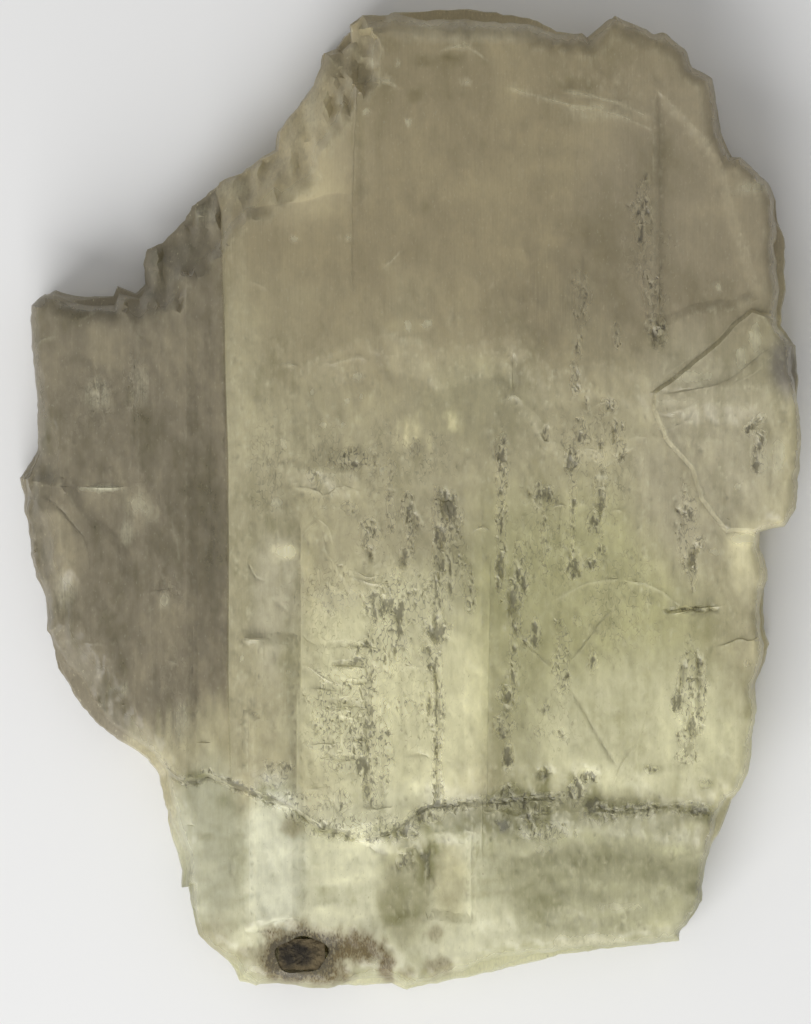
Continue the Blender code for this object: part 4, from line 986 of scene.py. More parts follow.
@dataclass
class BladeRim:
    """The blade's outline as rings round the layers of its broken side walls."""

    spacing: float = 4.0
    parts: int = 4
    partings: tuple[float, float] = (5.6, 11.0)
    depth: float = 4.6
    batter: float = 0.6
    ledge: float = 0.25
    break_length: float = 17.0
    leaves: int = 3
    leaf_depth: float = 0.55
    leaf_share: float = 0.82
    wander: float = 0.34
    pocket_clear: float = 9.0

    def __post_init__(self) -> None:
        """Work out the outline and what goes with each of its points."""
        corners = np.array([point for stretch in RIM for point in stretch.points])
        self.outline = resampled(corners, self.spacing)
        stretch_of = np.concatenate([[i] * len(stretch.points) for i, stretch in enumerate(RIM)])
        nearest = [int(np.argmin(np.linalg.norm(corners - point, axis=1))) for point in self.outline]
        stretches = [RIM[stretch_of[index]] for index in nearest]
        self.bevel = refined(smoothed(np.array([stretch.bevel for stretch in stretches]), 3), self.parts)
        self.drop = refined(smoothed(np.array([stretch.drop for stretch in stretches]), 3), self.parts)
        self.inward = normals_of(smoothed(self.outline, 6))
        self.room = self.clearance()
        self.layers = self.layer_offsets()
        self.along = np.arange(len(self.outline) * self.parts) * self.spacing / self.parts
        self.fine_inward = refined(self.inward, self.parts)
        self.fine_room = refined(self.room, self.parts)

    def clearance(self) -> np.ndarray:
        """How much a ring may be set in at each point, so that thin splinters stay whole.

        Returns:
            A share from 0.1 to 1 for each point of the outline.
        """
        apart = np.linalg.norm(self.outline[:, None] - self.outline[None], axis=2)
        index = np.arange(len(self.outline))
        steps = np.abs(index[:, None] - index[None])
        steps = np.minimum(steps, len(index) - steps)
        apart[steps < 4] = np.inf
        return smoothed(np.clip(apart.min(axis=1) / (3.0 * self.depth), 0.1, 1.0), 2)

    def layer_offsets(self) -> np.ndarray:
        """How far each layer of the wall is set in: the widest one stands on the outline.

        Returns:
            Millimetres for each layer and each point of the outline.
        """
        along = np.arange(len(self.outline)) * self.spacing
        seeds = range(len(self.partings) + 2)
        offsets = np.array([0.5 + 0.5 * broken(along, self.break_length, seed + 1) for seed in seeds])
        offsets *= self.depth
        from_pocket = np.linalg.norm(self.outline - POCKET.centre, axis=1)
        offsets[-2:] *= ramp((from_pocket - self.pocket_clear) / self.pocket_clear)
        return (offsets - offsets.min(axis=0)) * self.room

    def ring(self, layer: int, inset: float, leaf: int) -> np.ndarray:
        """One fine ring in plan.

        Args:
            layer: which layer of the wall.
            inset: how far the ring is set in from that layer's foot.
            leaf: which thin leaf of the layer, each broken in its own way.

        Returns:
            The ring's points.
        """
        plan = self.outline + self.inward * (self.layers[layer] + inset * self.room)[:, None]
        seed = 20.0 + 7.0 * layer + leaf
        chips = 0.6 * broken(self.along, 2.3, 11.0) + 0.4 * broken(self.along, 1.05, 12.0)
        leaves = ramp(0.55 * broken(self.along, 6.5, seed) + 0.45 * broken(self.along, 2.1, seed + 0.5))
        shift = self.wander * chips + self.leaf_depth * leaves
        return refined(plan, self.parts) + self.fine_inward * (shift * self.fine_room)[:, None]

    def rings(self, low: np.ndarray, high: np.ndarray) -> tuple[list[np.ndarray], list[np.ndarray]]:
        """The wall's rings from the bottom up.

        Args:
            low: the height of the wall's foot at each fine point.
            high: the height of its top edge.

        Returns:
            The plans of the rings, and their heights.
        """
        partings = [np.full(len(low), parting) for parting in self.partings]
        partings.append(0.5 * (high + self.partings[-1]))
        plans: list[np.ndarray] = []
        levels: list[np.ndarray] = []
        for layer in range(len(partings) + 1):
            foot = low if layer == 0 else partings[layer - 1] + self.ledge
            head = high if layer == len(partings) else partings[layer] - self.ledge
            for leaf in range(self.leaves):
                for share in (leaf / self.leaves, (leaf + self.leaf_share) / self.leaves):
                    top = layer == len(partings) and leaf == self.leaves - 1
                    if share > leaf / self.leaves and leaf == self.leaves - 1:
                        share = 1.0
                    plans.append(self.ring(layer, self.batter * share, 0 if top or leaf == 0 else leaf))
                    levels.append(foot + (head - foot) * share)
        return plans, levels


@dataclass(frozen=True)
class ClayPocket:
    """The open pocket in the blade's foot."""

    centre: Place = (-26.8, -113.2)
    radii: Place = (6.4, 4.7)
    floor: float = 9.0
    taper: float = 0.78

    @staticmethod
    def lobes(angle: np.ndarray) -> np.ndarray:
        """The pocket's uneven outline, as a share of its radii."""
        return 1.0 + 0.07 * np.sin(2.0 * angle + 0.6) + 0.06 * np.sin(5.0 * angle)

    def share(self, points: np.ndarray) -> np.ndarray:
        """How far out each point lies in the pocket: 0 at its middle and 1 at its lip.

        Args:
            points: places in plan.

        Returns:
            The share at each of them.
        """
        x = (points[:, 0] - self.centre[0]) / self.radii[0]
        y = (points[:, 1] - self.centre[1]) / self.radii[1]
        return np.hypot(x, y) / self.lobes(np.arctan2(y, x))

    def loop(self, scale: float, inset: float, sides: int) -> np.ndarray:
        """A loop round the pocket.

        Args:
            scale: the loop's share of the pocket's size.
            inset: how far it is set in from there, in millimetres.
            sides: how many points it has.

        Returns:
            The loop's points.
        """
        angle = np.linspace(0.0, 2.0 * math.pi, sides, endpoint=False)
        reach = scale * self.lobes(angle)
        x = (self.radii[0] * reach - inset) * np.cos(angle)
        y = (self.radii[1] * reach - inset) * np.sin(angle)
        return np.stack([x, y], axis=1) + self.centre


POCKET = ClayPocket()


@dataclass
class BladeFace:
    """The blade's upper face and back: their heights, and what lies on them."""

    rim: BladeRim
    foot_level: float = 19.5
    spread_start: float = -16.0
    spread_end: float = 4.0
    splinter_width: float = 3.1
    edge_spacing: float = 1.15
    terraces: int = 3
    terrace_share: float = 0.06
    crumbling_tone: float = -0.60
    worn_width: float = 2.5
    worn_height: float = 1.2
    mark_spacing: float = 1.3
    pit_steepness: float = 1.2
    groove_slant: float = 0.37
    rungs: int = 7
    rung_top: float = -35.5
    rung_pitch: float = 4.7
    rugged_from: float = 250.0
    rugged_over: float = 190.0
    lamella_edge: float = -44.0
    scarp_reach: float = 3.0
    line_reach: float = 2.5
    scarp_wander: float = 0.09
    line_wander: float = 0.16
    crumbling_reach: float = 2.4
    dirty_from: float = 0.30
    rugged_above: float = 0.45
    steep_below: float = 3.1
    soft_edge: tuple[float, float, float] = (3.0, 4.0, 0.45)
    firm_edge: tuple[float, float, float] = (1.6, 2.8, 0.40)

    def sheet_outline(self, sheet: Sheet, seed: float) -> np.ndarray:
        """A sheet's outline: straight along the crystal and splintery where it breaks across.

        Args:
            sheet: the sheet.
            seed: which raggedness.

        Returns:
            The outline's points.
        """
        outline = resampled(np.array(sheet.outline), self.edge_spacing)
        x = outline[:, 0].copy()
        outline[:, 0] += 0.10 * broken(outline[:, 1], 11.0, seed + 40.0)
        outline[:, 1] += sheet.ragged * broken(x, self.splinter_width, seed)
        outline[:, 1] += 0.45 * sheet.ragged * broken(x, 0.9, seed + 60.0)
        return outline

    def slope_at(self, sheet: Sheet, x: np.ndarray) -> np.ndarray:
        """How wide a sheet's edge slopes at each x."""
        share = ramp((x - self.spread_start) / (self.spread_end - self.spread_start))
        return sheet.slope + (max(sheet.spread, sheet.slope) - sheet.slope) * share

    def sheet_height(self, plan: Plan, sheets: Sequence[Sheet]) -> np.ndarray:
        """What the sheets add to the height at each point.

        Args:
            plan: the points.
            sheets: the sheets, whose order seeds their edges.

        Returns:
            The sum of what they add, in millimetres.
        """
        height = np.zeros(len(plan.points))
        for seed, sheet in enumerate(sheets):
            reach = max(sheet.spread, sheet.slope)
            depth = plan.depth(self.sheet_outline(sheet, seed), reach)
            height += sheet.thickness * ramp(depth / self.slope_at(sheet, plan.points[:, 0]) + 0.5)
        return height

    def bevel_shares(self, plan: Plan, edge: np.ndarray) -> tuple[np.ndarray, np.ndarray]:
        """How far into the broken bevel each point lies.

        Args:
            plan: the points.
            edge: the upper edge's points.

        Returns:
            The share of the bevel, 0 at its inner end and 1 at the edge, and the bevel's drop.
        """
        nearest, apart = nearest_points(plan.points, edge)
        x, y = plan.points.T
        width = self.rim.bevel[nearest]
        apart = apart + 0.16 * width * Noise.BEVEL_END.at(x, y) * ramp(apart)
        return ramp(1.0 - apart / width), self.rim.drop[nearest]

    def all_pits(self) -> list[Pit]:
        """The pits, and the rungs of the ladder of crevices.

        Returns:
            The listed pits, then the rungs.
        """
        rungs = [
            Pit(1.8 * (i % 3) - 17.0, self.rung_top - self.rung_pitch * i, 5.2 - 0.8 * (i % 2), 0.9, 0.4)
            for i in range(self.rungs)
        ]
        return [*PITS, *rungs]

    def trace(self, mark: Mark, seed: float) -> np.ndarray:
        """A mark's line on the blade, with its corners cut and a slight wander.

        Args:
            mark: the mark.
            seed: which wander.

        Returns:
            The line's points, in millimetres.
        """
        line = on_blade(mark.points)
        if len(line) > 2:
            early = line[:-1] * 0.75 + line[1:] * 0.25
            late = line[:-1] * 0.25 + line[1:] * 0.75
            middle = np.stack([early, late], axis=1).reshape(-1, 2)[1:-1]
            line = np.concatenate([line[:1], middle, line[-1:]])
        line = resampled(line, self.mark_spacing, closed=False)
        run = np.arange(len(line)) * self.mark_spacing
        wander = self.line_wander if mark.form is Form.LINE else self.scarp_wander
        span = line[-1] - line[0]
        across = np.abs(span) / max(float(np.linalg.norm(span)), 1e-9)
        shift = np.stack([broken(run, 2.0, seed + 9.0), broken(run, 2.0, seed + 10.0)], axis=1)
        return line + wander * shift * (across[::-1] + 0.2)

    def mark_weight(self, plan: Plan, mark: Mark, seed: float) -> np.ndarray:
        """How strongly a mark shows at each point, 0 to 1.

        Args:
            plan: the points.
            mark: the mark.
            seed: which wander and raggedness.

        Returns:
            The weights.
        """
        line = self.trace(mark, seed)
        stepped = mark.form is Form.SCARP
        reach = mark.width * (self.scarp_reach if stepped else self.line_reach)
        distance, side, along = plan.nearest(line, reach)
        total = float(np.sum(np.linalg.norm(np.diff(line, axis=0), axis=1)))
        ends = ramp(np.minimum(along, total - along) / min(0.28 * total, 2.5))
        if stepped:
            beside = ramp(side * distance / 0.3 + 0.5)
            weight = beside * eased(1.0 - distance / (self.scarp_reach * mark.width)) * ends
        else:
            uneven = 0.50 * broken(along, 2.3, seed + 21.0)
            wide = mark.width * (1.0 + uneven + 0.30 * broken(along, 0.9, seed + 22.0))
            patchy = 0.78 + 0.22 * broken(along, 3.7, seed + 23.0)
            weight = ramp(1.4 - distance / wide) * ends * patchy
        return plan.restored(weight)

    def mark_lines(self) -> list[np.ndarray]:
        """Open lines of mesh points beside and along each mark.

        Returns:
            Two lines for each scarp and three for each line.
        """
        lines = []
        for seed, mark in enumerate(MARKS):
            line = self.trace(mark, seed)
            along = np.gradient(line, axis=0)
            across = np.stack([along[:, 1], -along[:, 0]], axis=1)
            across /= np.maximum(np.linalg.norm(across, axis=1, keepdims=True), 1e-9)
            if mark.form is Form.SCARP:
                lines += [line - 0.15 * across, line + 0.15 * across]
            else:
                lines += [line - mark.width * across, line, line + mark.width * across]
        return lines

    def spot_weight(self, plan: Plan, spot: Spot, seed: float) -> np.ndarray:
        """How strongly a patch shows at each point, 0 to 1.

        Args:
            plan: the points.
            spot: the patch.
            seed: which ragged edge.

        Returns:
            The weights.
        """
        middle = on_blade([(spot.x, spot.y)])[0]
        half_width, half_height = spot.half_width / PIXELS_PER_MM, spot.half_height / PIXELS_PER_MM
        rows = plan.rows(middle[1] - 2.0 * half_height, middle[1] + 2.0 * half_height)
        near = rows.start + np.flatnonzero(np.abs(plan.sorted[rows, 0] - middle[0]) < 2.0 * half_width)
        x, y = plan.sorted[near].T
        width, height, wander = self.soft_edge if spot.patch is Patch.SOFT else self.firm_edge
        reach = np.hypot((x - middle[0]) / half_width, (y - middle[1]) / half_height)
        weight = np.zeros(len(plan.sorted))
        weight[near] = eased(1.35 - reach + wander * clouds(x / width, y / height, seed, 3))
        return plan.restored(weight)

    def ruggedness(self, plan: Plan) -> np.ndarray:
        """How crumpled the face is: nearly smooth at the head, rough over the middle and the foot.

        Args:
            plan: the points.

        Returns:
            The ruggedness, 0 to 1.
        """
        x, y = plan.points.T
        row = PHOTO_MIDDLE[1] - y * PIXELS_PER_MM + 50.0 * Noise.CRUMPLING.at(x, y)
        head = eased((row - self.rugged_from) / self.rugged_over)
        beside = self.on_lamella(x)
        return (0.15 + 0.85 * head) * (1.0 - 0.35 * beside) + 0.25 * beside * (1.0 - head)

    def on_lamella(self, x: np.ndarray) -> np.ndarray:
        """How much each point belongs to the lamella beside the long step, 0 to 1."""
        return eased((self.lamella_edge - x) / 2.0)

    def dirtiness(self, plan: Plan) -> np.ndarray:
        """How densely small pits lie at each point, 0 to 1.

        Args:
            plan: the points.

        Returns:
            The larger of what the patches and the crumbling lines give.
        """
        dirt = np.zeros(len(plan.points))
        for seed, spot in enumerate(SPOTS):
            if spot.patch is Patch.DIRTY:
                dirt = np.maximum(dirt, spot.strength * self.spot_weight(plan, spot, seed))
        for seed, mark in enumerate(MARKS):
            if mark.form is Form.LINE and mark.tone <= self.crumbling_tone:
                distance, _, along = plan.nearest(self.trace(mark, seed), self.crumbling_reach)
                wide = mark.width * (2.0 + 0.8 * broken(along, 3.1, seed + 31.0))
                strength = 0.92 * (0.80 + 0.20 * broken(along, 2.2, seed + 32.0))
                weight = strength * eased(1.5 - distance / wide) * (distance < self.crumbling_reach)
                dirt = np.maximum(dirt, plan.restored(weight))
        return dirt

    def fineness(self, plan: Plan) -> np.ndarray:
        """Which of the three densities of mesh points each place needs: 2 is the finest."""
        rugged = np.where(self.ruggedness(plan) > self.rugged_above, 1, 0)
        return np.where(self.dirtiness(plan) > self.dirty_from, 2, rugged)

    def upper_edge_height(self, plan: Plan, edge: np.ndarray) -> np.ndarray:
        """The height of the upper face, without what lies on it."""
        share, drop = self.bevel_shares(plan, edge)
        return self.foot_level + self.sheet_height(plan, SHEETS) - self.fall(plan.points, share, drop)

    def fall(self, points: np.ndarray, share: np.ndarray, drop: np.ndarray) -> np.ndarray:
        """How far the broken bevel takes the face down: in terraces, cut by splintery scoops.

        Args:
            points: the points.
            share: how far into the bevel each one lies.
            drop: how far the bevel falls there.

        Returns:
            The fall in millimetres.
        """
        rugged = self.bevel_ruggedness(drop)
        gentle = share ** (1.0 + 1.5 * (1.0 - rugged))
        terraces = np.floor(share * self.terraces + 0.5) / self.terraces
        wild = rugged * ramp((points[:, 1] - 20.0) / 30.0)
        fall = drop * (gentle + self.terrace_share * wild * (terraces - share))
        bowls, heights = self.grooves(points)
        fine, _ = scooped(points[:, 0] / 1.3, points[:, 1] / 4.6, 8.0)
        cut = 0.50 - 0.8 * bowls + 0.35 * heights - 0.25 * fine
        depth = (0.02 + 0.022 * rugged) * drop * ramp(3.0 * share)
        return fall + depth * cut * (1.0 - 0.75 * share)

    @staticmethod
    def bevel_ruggedness(drop: np.ndarray) -> np.ndarray:
        """How rugged the broken bevel is by how far it falls, 0 to 1."""
        return ramp((drop - 3.5) / 4.0)

    def grooves(self, points: np.ndarray) -> tuple[np.ndarray, np.ndarray]:
        """The slanted grooves that the broken bevel is cut into, as bowls and a value for each one."""
        slant = points[:, 0] + self.groove_slant * points[:, 1]
        return scooped(slant / 3.0, points[:, 1] / 10.5, 5.0)

    def tint(self, plan: Plan) -> np.ndarray:
        """The face's wide zones of tint, as base colours, with a painted gradient of light, darker at the
        head and paler at the foot.

        Args:
            plan: the points.

        Returns:
            Red, green and blue for each of them.
        """
        x = plan.points[:, 0] * PIXELS_PER_MM + PHOTO_MIDDLE[0]
        y = PHOTO_MIDDLE[1] - plan.points[:, 1] * PIXELS_PER_MM
        wobble = 0.14 * Noise.ZONE_EDGE.at(x, y)
        tint = np.tile(tinted(GROUND_COLOUR), (len(x), 1))
        for zone in ZONES:
            reach = np.hypot((x - zone.x) / zone.half_width, (y - zone.y) / zone.half_height) + wobble
            weight = eased((1.0 + 0.5 * zone.softness - reach) / zone.softness)[:, None]
            tint += (tinted(zone.colour) - tint) * weight
        beside = ramp(0.5 - plan.depth(self.sheet_outline(MAIN_SHEET, 1.0), 1.0) / 0.6)
        above_end = (LAMELLA_END[1] - y - 0.5 * np.abs(x - LAMELLA_END[0])) / 55.0
        dark = beside * eased(above_end + 0.35 * Noise.LAMELLA_END.at(x, y))
        return tint + (tinted(LAMELLA_COLOUR) - tint) * dark[:, None]

    def back_height(self, plan: Plan, foot: np.ndarray) -> np.ndarray:
        """The height of the back: flat, but for missing sheets and a worn rim."""
        worn = self.worn_height * ramp(1.0 - plan.depth(foot, self.worn_width) / self.worn_width)
        return self.sheet_height(plan, BACK_SHEETS) + worn

    def sheet_lines(self, sheets: Sequence[Sheet]) -> list[np.ndarray]:
        """The foot and head of each sheet's edge where it is steep, as open lines.

        Args:
            sheets: the sheets.

        Returns:
            The lines' points.
        """
        lines = []
        for seed, sheet in enumerate(sheets):
            outline = self.sheet_outline(sheet, seed)
            x, y = outline.T
            area = float(np.sum(x * np.roll(y, -1) - np.roll(x, -1) * y))
            slope = self.slope_at(sheet, x)
            half = normals_of(outline) * math.copysign(0.5, area) * slope[:, None]
            steep = np.flatnonzero(slope < self.steep_below)
            if len(steep) == 0:
                continue
            runs = np.split(steep, np.flatnonzero(np.diff(steep) > 1) + 1)
            lines += [side[run] for run in runs for side in (outline - half, outline + half)]
        return lines

    def pit_lines(self) -> list[np.ndarray]:
        """A lip and a floor line for each pit, as lines that end where they start.

        Returns:
            The lines' points.
        """
        lines = []
        for pit in self.all_pits():
            for share, sides in ((1.0, 18), (0.5, 12)):
                angle = np.linspace(0.0, 2.0 * math.pi, sides + 1)
                x = pit.x + share * pit.half_width * np.cos(angle)
                y = pit.y + share * pit.half_length * np.sin(angle)
                lines.append(np.stack([x, y], axis=1))
        return lines


@dataclass
class FaceMasks:
    """What lies on the face at each point, laid one kind after the other.

    In values, relief is in millimetres, tone lies around 0, and the others go from 0 to 1.
    """

    face: BladeFace
    plan: Plan
    share: np.ndarray
    drop: np.ndarray
    broad_scarp: float = 2.2
    foot_edge: float = -74.0
    foot_blend: float = 6.0

    def __post_init__(self) -> None:
        """Work out what several masks share, then lay them all."""
        self.x, self.y = x, y = self.plan.points.T
        names = ("relief", "tone", "shade", "pale", "scoop")
        self.values: Masks = {name: np.zeros(len(x)) for name in names}
        self.rugged = self.face.ruggedness(self.plan)
        self.lamella = self.face.on_lamella(x) * eased((y + 78.0) / 8.0)
        self.dirt = self.face.dirtiness(self.plan) * (1.0 - 0.35 * self.lamella)
        self.grain = 0.62 * Noise.GRAIN.at(x, y) + 0.38 * Noise.FINE_GRAIN.at(x, y)
        self.lumps, self.emboss = Noise.LUMPS.at(x, y), Noise.EMBOSS.at(x, y)
        self.bowls, self.heights = scooped(x / 3.4, y / 4.6, 14.0)
        self.fine_bowls, self.fine_heights = scooped(x / 1.5, y / 2.3, 15.0)
        self.fading = 0.5 + 0.5 * Noise.FADING.at(x, y)
        self.lay_marks()
        self.lay_spots()
        self.lay_dirt()
        self.lay_relief()
        self.lay_tone()
        self.lay_finish()

    def raise_to(self, name: str, weight: np.ndarray) -> None:
        """Raise a mask to a weight where that is larger."""
        self.values[name] = np.maximum(self.values[name], weight)

    def lay_marks(self) -> None:
        """Lay the lines and scarps."""
        for seed, mark in enumerate(MARKS):
            weight = self.face.mark_weight(self.plan, mark, seed)
            self.values["relief"] += mark.relief * weight
            if mark.form is Form.SCARP and mark.width > self.broad_scarp:
                self.values["tone"] += mark.tone * weight
            else:
                # The dark side of a narrow scarp is painted shade, kept in the shade mask; dark and pale
                # lines are kept there and in the pale mask
                self.raise_to("shade" if mark.tone < 0.0 else "pale", abs(mark.tone) * weight)

    def lay_spots(self) -> None:
        """Lay the patches, except the dirty ones."""
        masks = {Patch.BRUSHED: "shade", Patch.PALE: "pale", Patch.HOLLOW: "scoop"}
        streaky = 0.55 + 0.45 * Noise.GLOW_STREAKS.at(self.x, self.y)
        for seed, spot in enumerate(SPOTS):
            if spot.patch is Patch.DIRTY:
                continue
            weight = spot.strength * self.face.spot_weight(self.plan, spot, seed)
            if spot.patch in masks:
                self.raise_to(masks[spot.patch], weight)
            else:
                # Soft patches change the tone; painted highlights are streaked along the crystal
                self.values["tone"] += weight * (streaky if spot.patch is Patch.GLOW else 1.0)

    def lay_dirt(self) -> None:
        """Lay the dirt: small pits, creases and smudges, and the larger pits."""
        x, y, dirt, grain = self.x, self.y, self.dirt, self.grain
        curl = Noise.CURL.at(x, y)
        crease = ramp(1.2 - np.abs(curl) / (0.012 + 0.17 * dirt * dirt)) * ramp(2.5 * dirt)
        pitted = ramp((grain + 1.45 * dirt - 1.06) / 0.45) * (dirt > 0.05)
        pitted = np.maximum(pitted, 0.7 * crease)
        uneven = ramp(0.55 + 0.75 * grain + 0.30 * Noise.SMUDGES.at(x, y))
        self.raise_to("shade", 0.54 * ramp((dirt - 0.52) / 0.36) * uneven)
        for pit in self.face.all_pits():
            reach = np.hypot((x - pit.x) / pit.half_width, (y - pit.y) / pit.half_length)
            weight = ramp(self.face.pit_steepness * (1.0 - reach - 0.60 * grain - 0.60 * curl))
            self.values["relief"] -= 0.50 * pit.depth * weight
            dirty = 0.75 * ramp(pit.depth) * ramp(1.4 * weight - 0.3 + 0.7 * grain)
            pitted = np.maximum(pitted, dirty)
        self.values["relief"] -= 0.42 * pitted
        self.values["dirt"] = pitted
        self.values["crumple"] = ramp(dirt + 0.12 * self.rugged)

    def lay_relief(self) -> None:
        """Add the broad relief: scooped hollows, lumps, streaks and swells."""
        x, y, relief, scoop = self.x, self.y, self.values["relief"], self.values["scoop"]
        bowls = 0.55 * self.bowls + 0.25 * self.heights
        relief += scoop * (bowls + 0.30 * self.fine_bowls + 0.10 * self.fine_heights - 0.35)
        lumpy = 0.03 + 0.24 * self.rugged + 0.20 * scoop
        embossed = 0.01 + 0.07 * self.rugged + 0.12 * self.dirt
        relief += lumpy * self.lumps + embossed * self.emboss
        beside = 0.13 * Noise.LAMELLA_LUMPS.at(x, y) + 0.05 * Noise.LAMELLA_EMBOSS.at(x, y)
        relief += self.lamella * beside
        streaks = 0.045 * Noise.STREAKS.at(x, y) + 0.030 * Noise.FINE_STREAKS.at(x, y)
        swells = 0.16 * Noise.SWELLS.at(x, y)
        relief += (self.fading * streaks + swells) * (1.0 - self.share)

    def lay_tone(self) -> None:
        """Add the veils, streaks, panels and wisps of tone, and the broken bevel's own."""
        x, y, tone = self.x, self.y, self.values["tone"]
        along_head = 0.30 + 0.70 * ramp((52.0 - y) / 24.0)
        below_foot = (self.foot_edge - y) / self.foot_blend
        lengthwise = along_head * (1.0 - 0.7 * ramp(below_foot))
        foot = eased(below_foot)
        column = np.floor(x / 2.9 + 0.12 * broken(y, 9.0, 55.0))
        panels = cell_value(column, np.floor(y / 23.0 + 2.0 * scattered(column, 56.0)), 57.0)
        wisps = Noise.WISPS.at(x + 0.3 * y, y - 0.3 * x)
        pale_streaks = 0.09 * self.fading * Noise.PALE_STREAKS.at(x, y)
        beside = 0.13 * Noise.LAMELLA_VEILS.at(x, y) + 0.11 * Noise.LAMELLA_MOTTLES.at(x, y)
        tone += (
            0.14 * Noise.VEILS.at(x, y)
            + 0.035 * Noise.SPECKS.at(x, y)
            + 0.05 * Noise.MOTTLES.at(x, y)
            + lengthwise * (pale_streaks + 0.04 * Noise.FINE_PALE_STREAKS.at(x, y))
            + 0.05 * Noise.PUFFS.at(x, y)
            + self.lamella * beside
            + 0.03 * panels * (1.0 - foot)
            + 0.03 * Noise.BANDS.at(x, y)
            + self.rugged * (0.10 * Noise.BRUISES.at(x, y) + 0.06 * self.lumps)
            + 0.17 * foot * wisps
            + self.values["scoop"] * (0.10 * self.heights + 0.07 * self.fine_heights)
        )
        grooved = ramp(3.0 * self.share) * self.face.bevel_ruggedness(self.drop)
        tone += grooved * (0.17 * self.face.grooves(self.plan.points)[1] + 0.10 * self.emboss)
        rim_shade = 0.14 * ramp((-60.0 - x) / 10.0) + 0.30 * ramp((-98.0 - y) / 8.0)
        tone -= ramp(1.5 * self.share) * rim_shade

    def lay_finish(self) -> None:
        """Work out how broken and rough the face is, and how much painted highlight and shade its relief
        gets.
        """
        bevelled = self.face.bevel_ruggedness(self.drop)
        from_ledge = self.plan.restored(self.plan.nearest(np.array(LEDGE), 5.0)[0])
        on_bevel = ramp(8.0 * self.share) * (1.0 - 0.6 * bevelled)
        broken_off = ramp(1.6 * self.share) * (0.15 + 0.85 * bevelled)
        self.values["broken"] = broken_off
        # No painted highlight or shade from the relief on the bevel or beside the ledge
        self.values["calm"] = np.maximum(on_bevel, ramp(2.0 - from_ledge / 1.8))
        # How much painted highlight and shade the relief gets: more where the face is rugged, less on the
        # lamella
        self.values["lively"] = (0.30 + 0.70 * self.rugged) * (1.0 - 0.7 * self.lamella)
        self.values["rough"] = np.maximum.reduce([
            0.08 + 0.10 * self.rugged, 0.7 * broken_off, 0.8 * self.dirt,
            0.45 * self.values["scoop"], 0.8 * self.values["pale"],
        ])


def sown(across: float, along: float) -> np.ndarray:
    """Points over the whole blade in staggered columns, each nudged off its place.

    Args:
        across: their spacing across the crystal.
        along: their spacing along it.

    Returns:
        The points, one row each.
    """
    x, y = np.meshgrid(np.arange(-99.0, 99.0, across), np.arange(-124.0, 124.0, along))
    row = np.arange(y.shape[0])[:, None]
    x = x + 0.5 * across * (row % 2) + 0.27 * across * cell_value(x / across, row + 0.0 * x, 61.0)
    y = y + 0.27 * along * cell_value(x / across, row + 0.0 * x, 62.0)
    return np.stack([x.ravel(), y.ravel()], axis=1)


def spaced(points: np.ndarray, others: np.ndarray, least: float) -> np.ndarray:
    """The points that keep a distance from all the others."""
    return points[nearest_points(points, others)[1] > least]


@dataclass
class Cap:
    """A filled outline: its plan points, its triangles and which of its points lie on the outline."""

    edge: np.ndarray
    lines: list[np.ndarray]
    scatter: np.ndarray
    margin: float = 0.35

    def __post_init__(self) -> None:
        """Join the points by triangles whose sides follow the lines."""
        count = len(self.edge)
        edges = [(i, (i + 1) % count) for i in range(count)]
        drawn = np.concatenate(self.lines)
        last = np.cumsum([len(line) for line in self.lines]) - 1
        keep = Plan(drawn).depth(self.edge, 2.0 * self.margin) > self.margin
        middles = (drawn[:-1] + drawn[1:]) / 2.0
        joined = Plan(middles).depth(self.edge, 2.0 * self.margin) > self.margin
        joined &= keep[:-1] & keep[1:]
        joined[last[:-1]] = False
        place = count + np.cumsum(keep) - 1
        edges += [(int(place[i]), int(place[i]) + 1) for i in np.flatnonzero(joined)]
        inner = Plan(self.scatter).depth(self.edge, 3.0 * self.margin) > 1.6 * self.margin
        points = np.concatenate([self.edge, drawn[keep], self.scatter[inner]])
        made = delaunay_2d_cdt([Vector(point) for point in points], edges, [], 1, 1e-4)
        self.plan = np.array([tuple(point) for point in made[0]])
        self.triangles = np.array([face for face in made[2] if len(face) == 3])
        self.source = np.array([min(origins) if origins else -1 for origins in made[3]])


